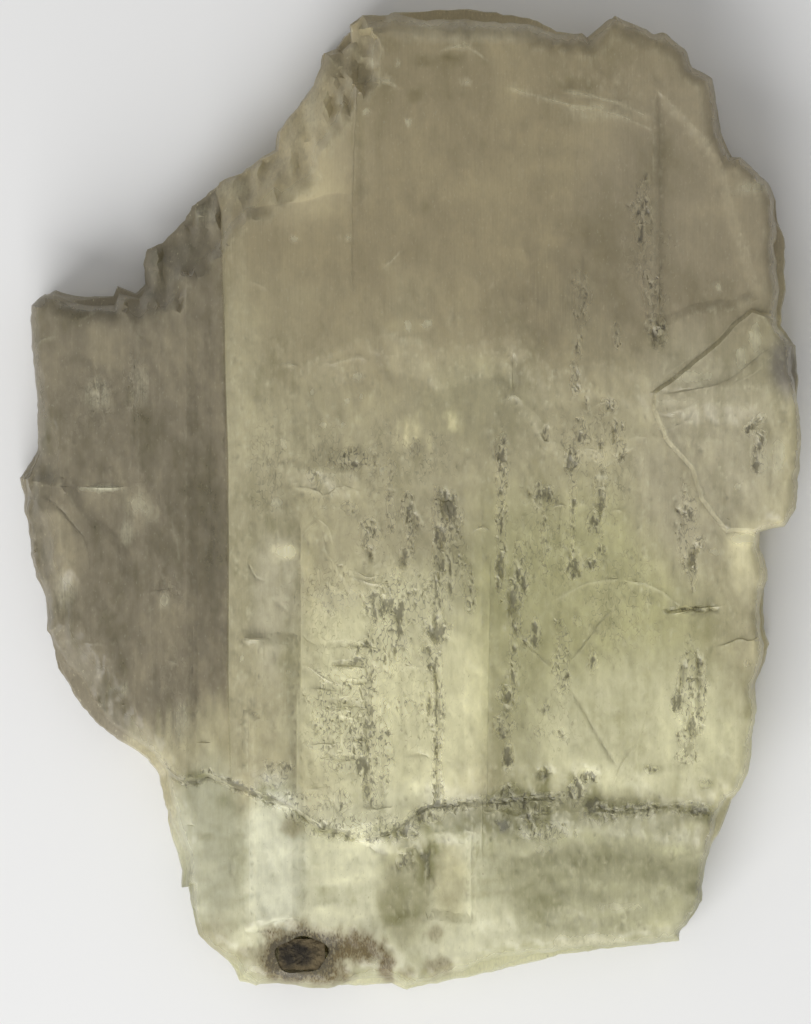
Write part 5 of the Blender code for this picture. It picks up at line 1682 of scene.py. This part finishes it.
@dataclass
class Shell:
    """A growing mesh, as points, triangles and the values that each point carries."""

    points: list[np.ndarray] = field(default_factory=list)
    triangles: list[np.ndarray] = field(default_factory=list)
    count: int = 0

    def add(self, points: np.ndarray) -> np.ndarray:
        """Add points and return their places in the mesh.

        Args:
            points: the new points, in millimetres.

        Returns:
            Their places, in order.
        """
        places = np.arange(self.count, self.count + len(points))
        self.points.append(points)
        self.count += len(points)
        return places

    def band(self, below: np.ndarray, above: np.ndarray) -> None:
        """Join two rings of the same length by a band of triangles.

        Args:
            below: the places of the lower ring's points.
            above: those of the upper ring.
        """
        below_next, above_next = np.roll(below, -1), np.roll(above, -1)
        self.triangles.append(np.stack([below, below_next, above_next], axis=1))
        self.triangles.append(np.stack([below, above_next, above], axis=1))

    def cap(self, ring: np.ndarray, cap: Cap, heights: np.ndarray, facing_up: bool) -> np.ndarray:
        """Fill a ring with a cap.

        Args:
            ring: the places of the ring's points in the mesh.
            cap: the cap's plan and triangles.
            heights: the height of each of its plan points.
            facing_up: whether its triangles face up.

        Returns:
            The place in the mesh of each of the cap's points.
        """
        places = np.full(len(cap.plan), -1)
        on_ring = (cap.source >= 0) & (cap.source < len(ring))
        places[on_ring] = ring[cap.source[on_ring]]
        places[~on_ring] = self.add(np.column_stack([cap.plan, heights])[~on_ring])
        corners = places[cap.triangles]
        whole = (corners[:, 0] != corners[:, 1]) & (corners[:, 1] != corners[:, 2])
        whole &= corners[:, 0] != corners[:, 2]
        corners = corners[whole]
        self.triangles.append(corners if facing_up else corners[:, ::-1])
        return places

    def mesh(self, name: str, box: tuple[Vector, Vector], values: Masks) -> bpy.types.Mesh:
        """Make the mesh in metres.

        Args:
            name: the mesh's name.
            box: the lowest and highest corner that its points are held between, in metres.
            values: what each point carries, as numbers or as colours.

        Returns:
            The mesh, smooth but for its sharp edges.
        """
        points = np.clip(np.concatenate(self.points) * MM, np.array(box[0]), np.array(box[1]))
        corners = np.concatenate(self.triangles)
        data = bpy.data.meshes.new(name)
        data.from_pydata(points.tolist(), [], corners.tolist())
        for key, value in values.items():
            if value.ndim == 2:
                layer = data.attributes.new(key, "FLOAT_COLOR", "POINT")
                flat = np.column_stack([value, np.ones(len(value))]).astype(np.float32).ravel()
                layer.data.foreach_set("color", flat)
            else:
                layer = data.attributes.new(key, "FLOAT", "POINT")
                layer.data.foreach_set("value", value.astype(np.float32))
        data.shade_smooth()
        data.set_sharp_from_angle(angle=math.radians(SHARP_DEGREES))
        data.update()
        return data


class Signal:
    """A shader value that takes part in arithmetic: each operation adds a Math node."""

    def __init__(self, board: "Board", socket: bpy.types.NodeSocket) -> None:
        """Wrap an output socket of a board's node."""
        self.board = board
        self.socket = socket

    def joined(self, operation: str, first: "Signal | float", second: "Signal | float") -> "Signal":
        """A Math node of two values."""
        made = self.board.node("ShaderNodeMath", {"operation": operation}, {0: first, 1: second})
        return Signal(self.board, made.outputs[0])

    def __add__(self, other: "Signal | float") -> "Signal":
        """This value plus another."""
        return self.joined("ADD", self, other)

    def __radd__(self, other: float) -> "Signal":
        """A number plus this value."""
        return self.joined("ADD", other, self)

    def __sub__(self, other: "Signal | float") -> "Signal":
        """This value less another."""
        return self.joined("SUBTRACT", self, other)

    def __rsub__(self, other: float) -> "Signal":
        """A number less this value."""
        return self.joined("SUBTRACT", other, self)

    def __mul__(self, other: "Signal | float") -> "Signal":
        """This value times another."""
        return self.joined("MULTIPLY", self, other)

    def __rmul__(self, other: float) -> "Signal":
        """A number times this value."""
        return self.joined("MULTIPLY", other, self)

    def held(self) -> "Signal":
        """This value held between 0 and 1."""
        made = self.board.node("ShaderNodeClamp", {}, {"Value": self})
        return Signal(self.board, made.outputs[0])

    def larger(self, other: "Signal | float") -> "Signal":
        """The larger of this value and another."""
        return self.joined("MAXIMUM", self, other)


Setting = str | bool | float | int
Socketable = "Signal | bpy.types.NodeSocket | float | Sequence[float]"
Sockets = dict[str | int, Socketable]
Colour = tuple[float, float, float, float]


@dataclass
class Board:
    """A material's nodes."""

    name: str

    def __post_init__(self) -> None:
        """Make an empty material."""
        self.material = bpy.data.materials.new(self.name)
        self.material.use_nodes = True
        self.tree = self.material.node_tree
        self.tree.nodes.clear()

    def node(self, kind: str, settings: dict[str, Setting], sockets: Sockets) -> bpy.types.Node:
        """Add a node.

        Args:
            kind: the node's type.
            settings: its settings, which are set first.
            sockets: the value of each input, or what is linked to it.

        Returns:
            The node.
        """
        made = self.tree.nodes.new(kind)
        for key, value in settings.items():
            setattr(made, key, value)
        for key, value in sockets.items():
            if isinstance(value, Signal):
                value = value.socket
            if isinstance(value, bpy.types.NodeSocket):
                self.tree.links.new(value, made.inputs[key])
            else:
                made.inputs[key].default_value = value
        return made

    def place(self, scale: tuple[float, float, float]) -> bpy.types.NodeSocket:
        """Places on the object, in metres times a scale along each axis.

        Args:
            scale: the factor along each axis.

        Returns:
            The scaled places.
        """
        where = self.node("ShaderNodeTexCoord", {}, {}).outputs["Object"]
        made = self.node("ShaderNodeVectorMath", {"operation": "MULTIPLY"}, {0: where, 1: scale})
        return made.outputs[0]

    def noise(self, width: tuple[float, float, float], detail: float, roughness: float = 0.5) -> Signal:
        """Noise between 0 and 1.

        Args:
            width: how wide its features are along each axis, in millimetres.
            detail: how many finer layers it has.
            roughness: how strong those are.

        Returns:
            The noise.
        """
        scale = tuple(1.0 / (MM * value) for value in width)
        made = self.node("ShaderNodeTexNoise", {"noise_dimensions": "3D"}, {
            "Vector": self.place(scale), "Scale": 1.0, "Detail": detail, "Roughness": roughness,
        })
        return Signal(self, made.outputs[0])

    def carried(self, name: str) -> Signal:
        """A number that the mesh's points carry."""
        made = self.node("ShaderNodeAttribute", {"attribute_name": name}, {})
        return Signal(self, made.outputs["Fac"])

    def carried_colour(self, name: str) -> bpy.types.NodeSocket:
        """A colour that the mesh's points carry."""
        return self.node("ShaderNodeAttribute", {"attribute_name": name}, {}).outputs["Color"]

    def mixed(self, share: Signal, first: Socketable, second: Socketable) -> bpy.types.NodeSocket:
        """A mix of two colours: the first where the share is 0, the second where it is 1."""
        made = self.node("ShaderNodeMix", {"data_type": "RGBA"}, {0: share, 6: first, 7: second})
        return made.outputs[2]

    def scaled(self, colour: Socketable, factor: Signal) -> bpy.types.NodeSocket:
        """A colour times a value."""
        made = self.node("ShaderNodeVectorMath", {"operation": "SCALE"}, {0: colour, "Scale": factor})
        return made.outputs[0]

    def bumped(self, height: Signal, distance: float) -> bpy.types.NodeSocket:
        """A normal bent by a height in millimetres."""
        sockets: Sockets = {"Strength": 1.0, "Distance": distance * MM, "Height": height}
        return self.node("ShaderNodeBump", {}, sockets).outputs[0]

    def finish(self, sockets: Sockets, volume: bpy.types.NodeSocket | None = None) -> bpy.types.Material:
        """Put the shader on the material.

        Args:
            sockets: the inputs of the Principled shader.
            volume: what fills the thing, if anything does.

        Returns:
            The material.
        """
        shader = self.node("ShaderNodeBsdfPrincipled", {}, sockets)
        surface: Sockets = {"Surface": shader.outputs[0]}
        if volume is not None:
            surface["Volume"] = volume
        self.node("ShaderNodeOutputMaterial", {}, surface)
        return self.material


@dataclass(frozen=True)
class SeleniteFinish:
    """Satin, see-through gypsum, tinted by zones, with brushed grain, dirt in its pits, and painted shade
    and painted highlights on its creases, ledges and ridges.
    """

    transmission: float = 0.54
    refraction: float = 1.52
    # dirt is the colour that dirt and painted shade are mixed towards; pale, that of flecks, splinters and
    # painted highlights
    dirt: Colour = (0.14, 0.130, 0.100, 1.0)
    pale: Colour = (1.0, 0.96, 0.68, 1.0)
    stain: Colour = (0.27, 0.205, 0.095, 1.0)
    depth_tint: Colour = (0.80, 0.78, 0.62, 1.0)
    depth_density: float = 5.0

    def material(self) -> bpy.types.Material:
        """Make the material.

        Returns:
            The material.
        """
        board = Board("selenite")
        streak = board.noise((0.38, 8.0, 1.5), 0.0, 0.5)
        grain = board.noise((0.50, 1.10, 0.9), 1.0, 0.62)
        curl = board.noise((1.25, 2.30, 1.6), 1.0, 0.60) - 0.5
        dirt, rough, crumple = board.carried("dirt"), board.carried("rough"), board.carried("crumple")
        dark = ((dirt + (grain - 0.5) * 1.6 - 0.36) * 2.6).held()
        # Winding dark creases, part dirt and part painted shade, each with a painted highlight along one
        # side
        winding = (1.0 - curl * curl * 900.0).held() * (crumple * 1.7 + (grain - 0.5) * 1.6 - 0.25).held()
        painted_lip_highlight = (1.0 - (curl - 0.065) * (curl - 0.065) * 900.0).held() * (crumple * 1.5 - 0.15).held()
        # The shade mask holds painted shade and smudges of dirt; the pale mask holds flecks, splinters and
        # painted highlights
        brushed = (board.carried("shade") * (0.55 + (streak - 0.30) * 1.5)).held()
        white = (board.carried("pale") * (0.25 + (grain - 0.30) * 1.5 + (streak - 0.30) * 1.1)).held()
        flecks = ((grain - 0.68) * 9.0).held() * (0.25 + rough)
        dashes = ((0.30 - grain) * 7.0).held() * (0.10 + rough)
        light = 0.95 + streak * 0.10 + (grain - 0.5) * (0.08 + rough * 0.5)
        # The curl also paints each crease lighter on one side and darker on the other
        light = light + curl * (0.06 + crumple * 0.4)
        colour = board.scaled(board.carried_colour("tint"), light)
        colour = board.mixed(white.larger(flecks * 0.8).larger(painted_lip_highlight * 0.35).held(), colour, self.pale)
        stained = (board.carried("stain") * (0.4 + grain * 1.2)).held()
        colour = board.mixed(stained, colour, self.stain)
        darkness = (dark * 0.72).larger(winding * 0.74).larger(brushed * 0.75).larger(dashes * 0.5).held()
        colour = board.mixed(darkness, colour, self.dirt)
        roughness = 0.20 + rough * 0.25
        volume = board.node("ShaderNodeVolumeAbsorption", {}, {
            "Color": self.depth_tint, "Density": self.depth_density,
        })
        return board.finish({
            "Base Color": colour, "Roughness": roughness, "IOR": self.refraction,
            "Transmission Weight": self.transmission,
        }, volume.outputs[0])


@dataclass(frozen=True)
class ClayFinish:
    """Matt brown-black clay, paler and more ochre towards its edge."""

    dark: Colour = (0.028, 0.023, 0.016, 1.0)
    ochre: Colour = (0.150, 0.116, 0.062, 1.0)

    def material(self) -> bpy.types.Material:
        """Make the material.

        Returns:
            The material.
        """
        board = Board("iron_clay")
        crumbs = board.noise((0.7, 0.7, 0.7), 4.0, 0.65)
        patches = board.noise((2.4, 2.0, 2.0), 2.0, 0.5)
        pale = (board.carried("edge") + (patches - 0.5) * 1.6 + (crumbs - 0.5) * 1.2).held()
        return board.finish({
            "Base Color": board.mixed(pale, self.dark, self.ochre), "Roughness": 0.9 - crumbs * 0.25,
            "Normal": board.bumped(crumbs * 0.5, 1.0),
        })


@dataclass(frozen=True)
class FloorFinish:
    """Plain pale paper."""

    colour: Colour = (0.86, 0.86, 0.855, 1.0)
    roughness: float = 0.9

    def material(self) -> bpy.types.Material:
        """Make the material."""
        return Board("floor").finish({"Base Color": self.colour, "Roughness": self.roughness})


def dressed(name: str, data: bpy.types.Mesh, material: bpy.types.Material) -> bpy.types.Object:
    """An object in the scene with a mesh and its material.

    Args:
        name: the object's name.
        data: its mesh.
        material: what the mesh is made of.

    Returns:
        The object.
    """
    data.materials.append(material)
    made = bpy.data.objects.new(name, data)
    bpy.context.scene.collection.objects.link(made)
    return made


@dataclass
class CrystalBlade:
    """The crystal: one closed mesh of its upper face, its broken walls and its back."""

    node: str = "crystal_blade"
    spacings: tuple[Place, ...] = ((0.92, 1.5), (0.62, 1.02), (0.38, 0.62))
    back_spacing: float = 4.2
    back_clear: float = 1.6
    line_clear: float = 0.26
    lip_sides: int = 40
    lines_end: float = 1.12
    wall_shares: tuple[float, float] = (0.7, 1.06)
    stain_reach: float = 4.8
    stain_seed: float = 77.0
    wall_roughness: float = 0.8
    back_roughness: float = 0.1
    darkest: float = 0.3
    dark_tone: tuple[float, float, float] = (1.0, 1.0, 1.25)
    pale_tone: tuple[float, float, float] = (1.0, 1.0, 0.85)

    def build(self) -> bpy.types.Mesh:
        """Make the crystal's mesh.

        Returns:
            The mesh, in metres.
        """
        rim = BladeRim()
        face = BladeFace(rim)
        low_plan, high_plan = rim.ring(0, 0.0, 0), rim.ring(3, rim.batter, 0)
        low = face.back_height(Plan(low_plan), low_plan)
        high = face.upper_edge_height(Plan(high_plan), high_plan)
        plans, levels = rim.rings(low, high)
        shell = Shell()
        rings = [shell.add(np.column_stack([plan, level])) for plan, level in zip(plans, levels)]
        for below, above in zip(rings, rings[1:]):
            shell.band(below, above)
        walls = shell.count
        self.add_top(shell, face, plans[-1], rings[-1])
        tops = shell.count
        lines = face.sheet_lines(BACK_SHEETS)
        drawn = np.concatenate([*lines, plans[0]])
        scatter = spaced(sown(self.back_spacing, self.back_spacing), drawn, self.back_clear)
        back = Cap(plans[0], lines, scatter)
        shell.cap(rings[0], back, face.back_height(Plan(back.plan), plans[0]), False)
        values = self.values(shell, face, plans[-1], walls, tops)
        return shell.mesh(self.node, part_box(self.node), values)

    def add_top(self, shell: Shell, face: BladeFace, edge: np.ndarray, ring: np.ndarray) -> None:
        """Fill the upper edge with the face.

        Args:
            shell: the mesh so far.
            face: the face's heights and marks.
            edge: the upper edge in plan.
            ring: the places of its points in the mesh.
        """
        pocket = [POCKET.loop(scale, 0.0, self.lip_sides) for scale in (1.0, POCKET.taper)]
        lines = [*face.sheet_lines(SHEETS), *face.mark_lines(), *face.pit_lines()]
        lines = [line[POCKET.share(line) > self.lines_end] for line in lines]
        lines = [line for line in lines if len(line) > 1]
        lines += [np.concatenate([loop, loop[:1]]) for loop in pocket]
        grids = [sown(across, along) for across, along in self.spacings]
        chosen = [grid[face.fineness(Plan(grid)) == level] for level, grid in enumerate(grids)]
        scatter = spaced(np.concatenate(chosen), np.concatenate([*lines, edge]), self.line_clear)
        share = POCKET.share(scatter)
        scatter = scatter[(share > self.wall_shares[1]) | (share < self.wall_shares[0])]
        cap = Cap(edge, lines, scatter)
        plan = Plan(cap.plan)
        shares, drop = face.bevel_shares(plan, edge)
        relief = FaceMasks(face, plan, shares, drop).values["relief"]
        heights = face.foot_level + face.sheet_height(plan, SHEETS) - face.fall(cap.plan, shares, drop)
        heights += relief * ramp(4.0 * (1.0 - shares))
        pocket_share = POCKET.share(cap.plan)
        wall = ramp((1.0 - pocket_share) / (1.0 - POCKET.taper))
        heights += (POCKET.floor - heights) * np.where(pocket_share < 1.0 - 1e-6, wall, 0.0)
        shell.cap(ring, cap, heights, True)

    def curvature(self, shell: Shell) -> np.ndarray:
        """How far each point of the mesh stands above the mean of its neighbours, in millimetres.

        Args:
            shell: the whole mesh.

        Returns:
            The heights above the neighbours.
        """
        heights = np.concatenate(shell.points)[:, 2]
        corners = np.concatenate(shell.triangles)
        total, count = np.zeros(len(heights)), np.zeros(len(heights))
        for near, far in ((0, 1), (1, 2), (2, 0), (1, 0), (2, 1), (0, 2)):
            total += np.bincount(corners[:, near], heights[corners[:, far]], len(heights))
            count += np.bincount(corners[:, near], minlength=len(heights))
        return heights - total / count

    def values(self, shell: Shell, face: BladeFace, edge: np.ndarray, walls: int, tops: int) -> Masks:
        """What each point of the mesh carries for its finish.

        Args:
            shell: the whole mesh.
            face: the face's marks.
            edge: the upper edge in plan.
            walls: how many of the points belong to the walls.
            tops: how many belong to the walls and the upper face.

        Returns:
            The values by name.
        """
        points = np.concatenate(shell.points)
        plan = Plan(points[:, :2])
        x, y = plan.points.T
        share, drop = face.bevel_shares(plan, edge)
        values = FaceMasks(face, plan, share, drop).values
        on_top = np.arange(len(points)) < tops
        side = np.arange(len(points)) < walls
        on_face = on_top & ~side
        for name in ("shade", "pale", "dirt", "crumple", "tone"):
            values[name] = values[name] * on_face
        values["tone"] = np.where(side, -0.30 * ramp((-85.0 - y) / 12.0), values["tone"])
        below = np.where(on_top, values["rough"], self.back_roughness)
        values["rough"] = np.where(side, self.wall_roughness, below)
        # Painted light from the relief: a painted highlight on each ridge and painted shade in each hollow,
        # put in the pale and shade masks
        ridge = self.curvature(shell) * on_face * (1.0 - 0.6 * values["broken"]) * (1.0 - values["calm"])
        relief_light_weight = ramp(1.6 - np.abs(ridge) / 0.35) * values["lively"]
        values["pale"] = np.maximum(values["pale"], 0.65 * ramp((ridge - 0.03) / 0.12) * relief_light_weight)
        values["shade"] = np.maximum(values["shade"], 0.60 * ramp((-ridge - 0.04) / 0.16) * relief_light_weight)
        from_clay = (POCKET.share(plan.points) - 1.0) * min(POCKET.radii)
        from_clay += 1.5 * Noise.STAIN_EDGE.at(x, y)
        values["stain"] = eased(1.15 - from_clay / self.stain_reach)
        smeared = 0.75 + 0.25 * Noise.SMEARS.at(x, y)
        lip_dirt = 0.92 * smeared * eased(1.35 - from_clay / 2.3) * on_top
        values["dirt"] = np.maximum(values["dirt"], lip_dirt)
        values["shade"] = np.maximum(values["shade"], 0.8 * eased(1.1 - from_clay / 2.4) * on_top)
        for spot in STAINS:
            stained = spot.strength * face.spot_weight(plan, spot, self.stain_seed)
            values["stain"] = np.maximum(values["stain"], stained)
        tone = values["tone"][:, None]
        toned = 1.0 + tone * np.where(tone < 0.0, self.dark_tone, self.pale_tone)
        values["tint"] = face.tint(plan) * np.maximum(toned, self.darkest)
        for name in ("relief", "scoop", "tone", "broken", "calm", "lively"):
            del values[name]
        return values


@dataclass
class ClayInclusion:
    """The lump of clay in the blade's foot."""

    node: str = "clay_inclusion"
    gap: float = 0.08
    lip: float = 17.3
    crown: float = 1.3
    sides: int = 72
    rings: int = 26
    core_shift: float = 1.6
    crown_profile: Places = (
        (0.945, -1.0), (0.99, 0.12), (1.08, 0.28), (1.02, 0.50), (0.60, 0.85), (0.12, 1.0),
    )

    def build(self) -> bpy.types.Mesh:
        """Make the lump's mesh: the pocket's shape below, and a crumbled crown above.

        Returns:
            The mesh, in metres.
        """
        shell = Shell()
        floor = POCKET.floor + self.gap
        profile = [(POCKET.taper * 0.86, floor), (0.86, 0.5 * (floor + self.lip))]
        profile += [(scale, self.lip + share * self.crown) for scale, share in self.crown_profile]
        steps = np.linspace(0.0, len(profile) - 1.0, self.rings)
        scales = np.interp(steps, np.arange(len(profile)), [scale for scale, _ in profile])
        levels = np.interp(steps, np.arange(len(profile)), [level for _, level in profile])
        rings = []
        for scale, level in zip(scales, levels):
            loop = POCKET.loop(float(scale), self.gap, self.sides)
            x, y = loop.T
            bowls, heights = scooped(x / 1.9 + level, y / 1.6, 71.0)
            lumps = 0.5 * heights + 0.9 * bowls + 0.4 * cloudy(x / 0.8, y / 0.8 + level, 72.0)
            upper = ramp(np.array((level - self.lip + self.crown) / self.crown))
            inward = (POCKET.centre - loop) * (0.012 * ramp(lumps))[:, None]
            raised = level + 0.45 * upper * (lumps - 0.3)
            rings.append(shell.add(np.column_stack([loop + inward, raised])))
        for below, above in zip(rings, rings[1:]):
            shell.band(below, above)
        for ring, level, up in ((rings[0], floor, False), (rings[-1], self.lip + self.crown, True)):
            middle = np.full(self.sides, shell.add(np.array([[*POCKET.centre, level]]))[0])
            fan = np.stack([ring, np.roll(ring, -1), middle], axis=1)
            shell.triangles.append(fan if up else fan[:, ::-1])
        points = np.concatenate(shell.points)
        share = POCKET.share(points[:, :2] + (self.core_shift, 0.0))
        return shell.mesh(self.node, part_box(self.node), {"edge": eased((share - 0.36) / 0.62)})


@dataclass
class Studio:
    """A pale floor, soft light and a camera that looks straight down on the blade."""

    floor_size: float = 8.0
    floor_drop: float = 0.0006
    sky_strength: float = 0.42
    key_power: float = 46.0
    gleam_power: float = 13.0
    key_size: float = 2.0
    key_place: tuple[float, float, float] = (-0.7, -1.7, 1.1)
    lens: float = 223.0
    camera_height: float = 1.6
    photo_size: tuple[int, int] = (811, 1024)

    def build(self) -> None:
        """Make the floor, the lights and the camera."""
        half, low = 0.5 * self.floor_size, -self.floor_drop
        data = bpy.data.meshes.new("floor")
        corners = [(-half, -half, low), (half, -half, low), (half, half, low), (-half, half, low)]
        data.from_pydata(corners, [], [(0, 1, 2, 3)])
        dressed("floor", data, FloorFinish().material())
        self.light()
        self.camera()

    def light(self) -> None:
        """Make a white sky, and beyond the foot a strong wide lamp and a weak one that gloss shows."""
        world = bpy.data.worlds.new("soft_sky")
        world.use_nodes = True
        background = world.node_tree.nodes["Background"]
        background.inputs["Color"].default_value = (1.0, 1.0, 1.0, 1.0)
        background.inputs["Strength"].default_value = self.sky_strength
        bpy.context.scene.world = world
        for name, power, in_gloss in (("key", self.key_power, False), ("gleam", self.gleam_power, True)):
            lamp = bpy.data.lights.new(name, "AREA")
            lamp.size = self.key_size
            lamp.energy = power
            stand = bpy.data.objects.new(name, lamp)
            stand.location = self.key_place
            stand.rotation_euler = (-Vector(self.key_place)).to_track_quat("-Z", "Y").to_euler()
            stand.visible_glossy = in_gloss
            bpy.context.scene.collection.objects.link(stand)
        bpy.context.scene.view_settings.view_transform = "Standard"

    def camera(self) -> None:
        """Make the camera, with the photograph's frame around the blade."""
        middle = on_blade([(0.5 * self.photo_size[0], 0.5 * self.photo_size[1])])[0] * MM
        data = bpy.data.cameras.new("camera")
        data.lens = self.lens
        view = bpy.data.objects.new("camera", data)
        view.location = (middle[0], middle[1], self.camera_height)
        bpy.context.scene.collection.objects.link(view)
        bpy.context.scene.camera = view


def report(piece: bpy.types.Object) -> None:
    """Say what was made, with its triangles."""
    data = piece.data
    LOG.info("%s: %d points, %d triangles", piece.name, len(data.vertices), len(data.polygons))


def main() -> None:
    """Build each piece round the frame, then the studio."""
    logging.basicConfig(level=logging.INFO, format="%(name)s %(message)s")
    makers: tuple[tuple[CrystalBlade | ClayInclusion, Callable[[], bpy.types.Material], str], ...] = (
        (CrystalBlade(), SeleniteFinish().material, "selenite"),
        (ClayInclusion(), ClayFinish().material, "iron_clay"),
    )
    for maker, finish, slot in makers:
        piece = dressed(f"{maker.node}_surface", maker.build(), finish())
        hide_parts(maker.node)
        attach(piece, "root")
        report(piece)
    Studio().build()


if __name__ == "__main__":
    main()
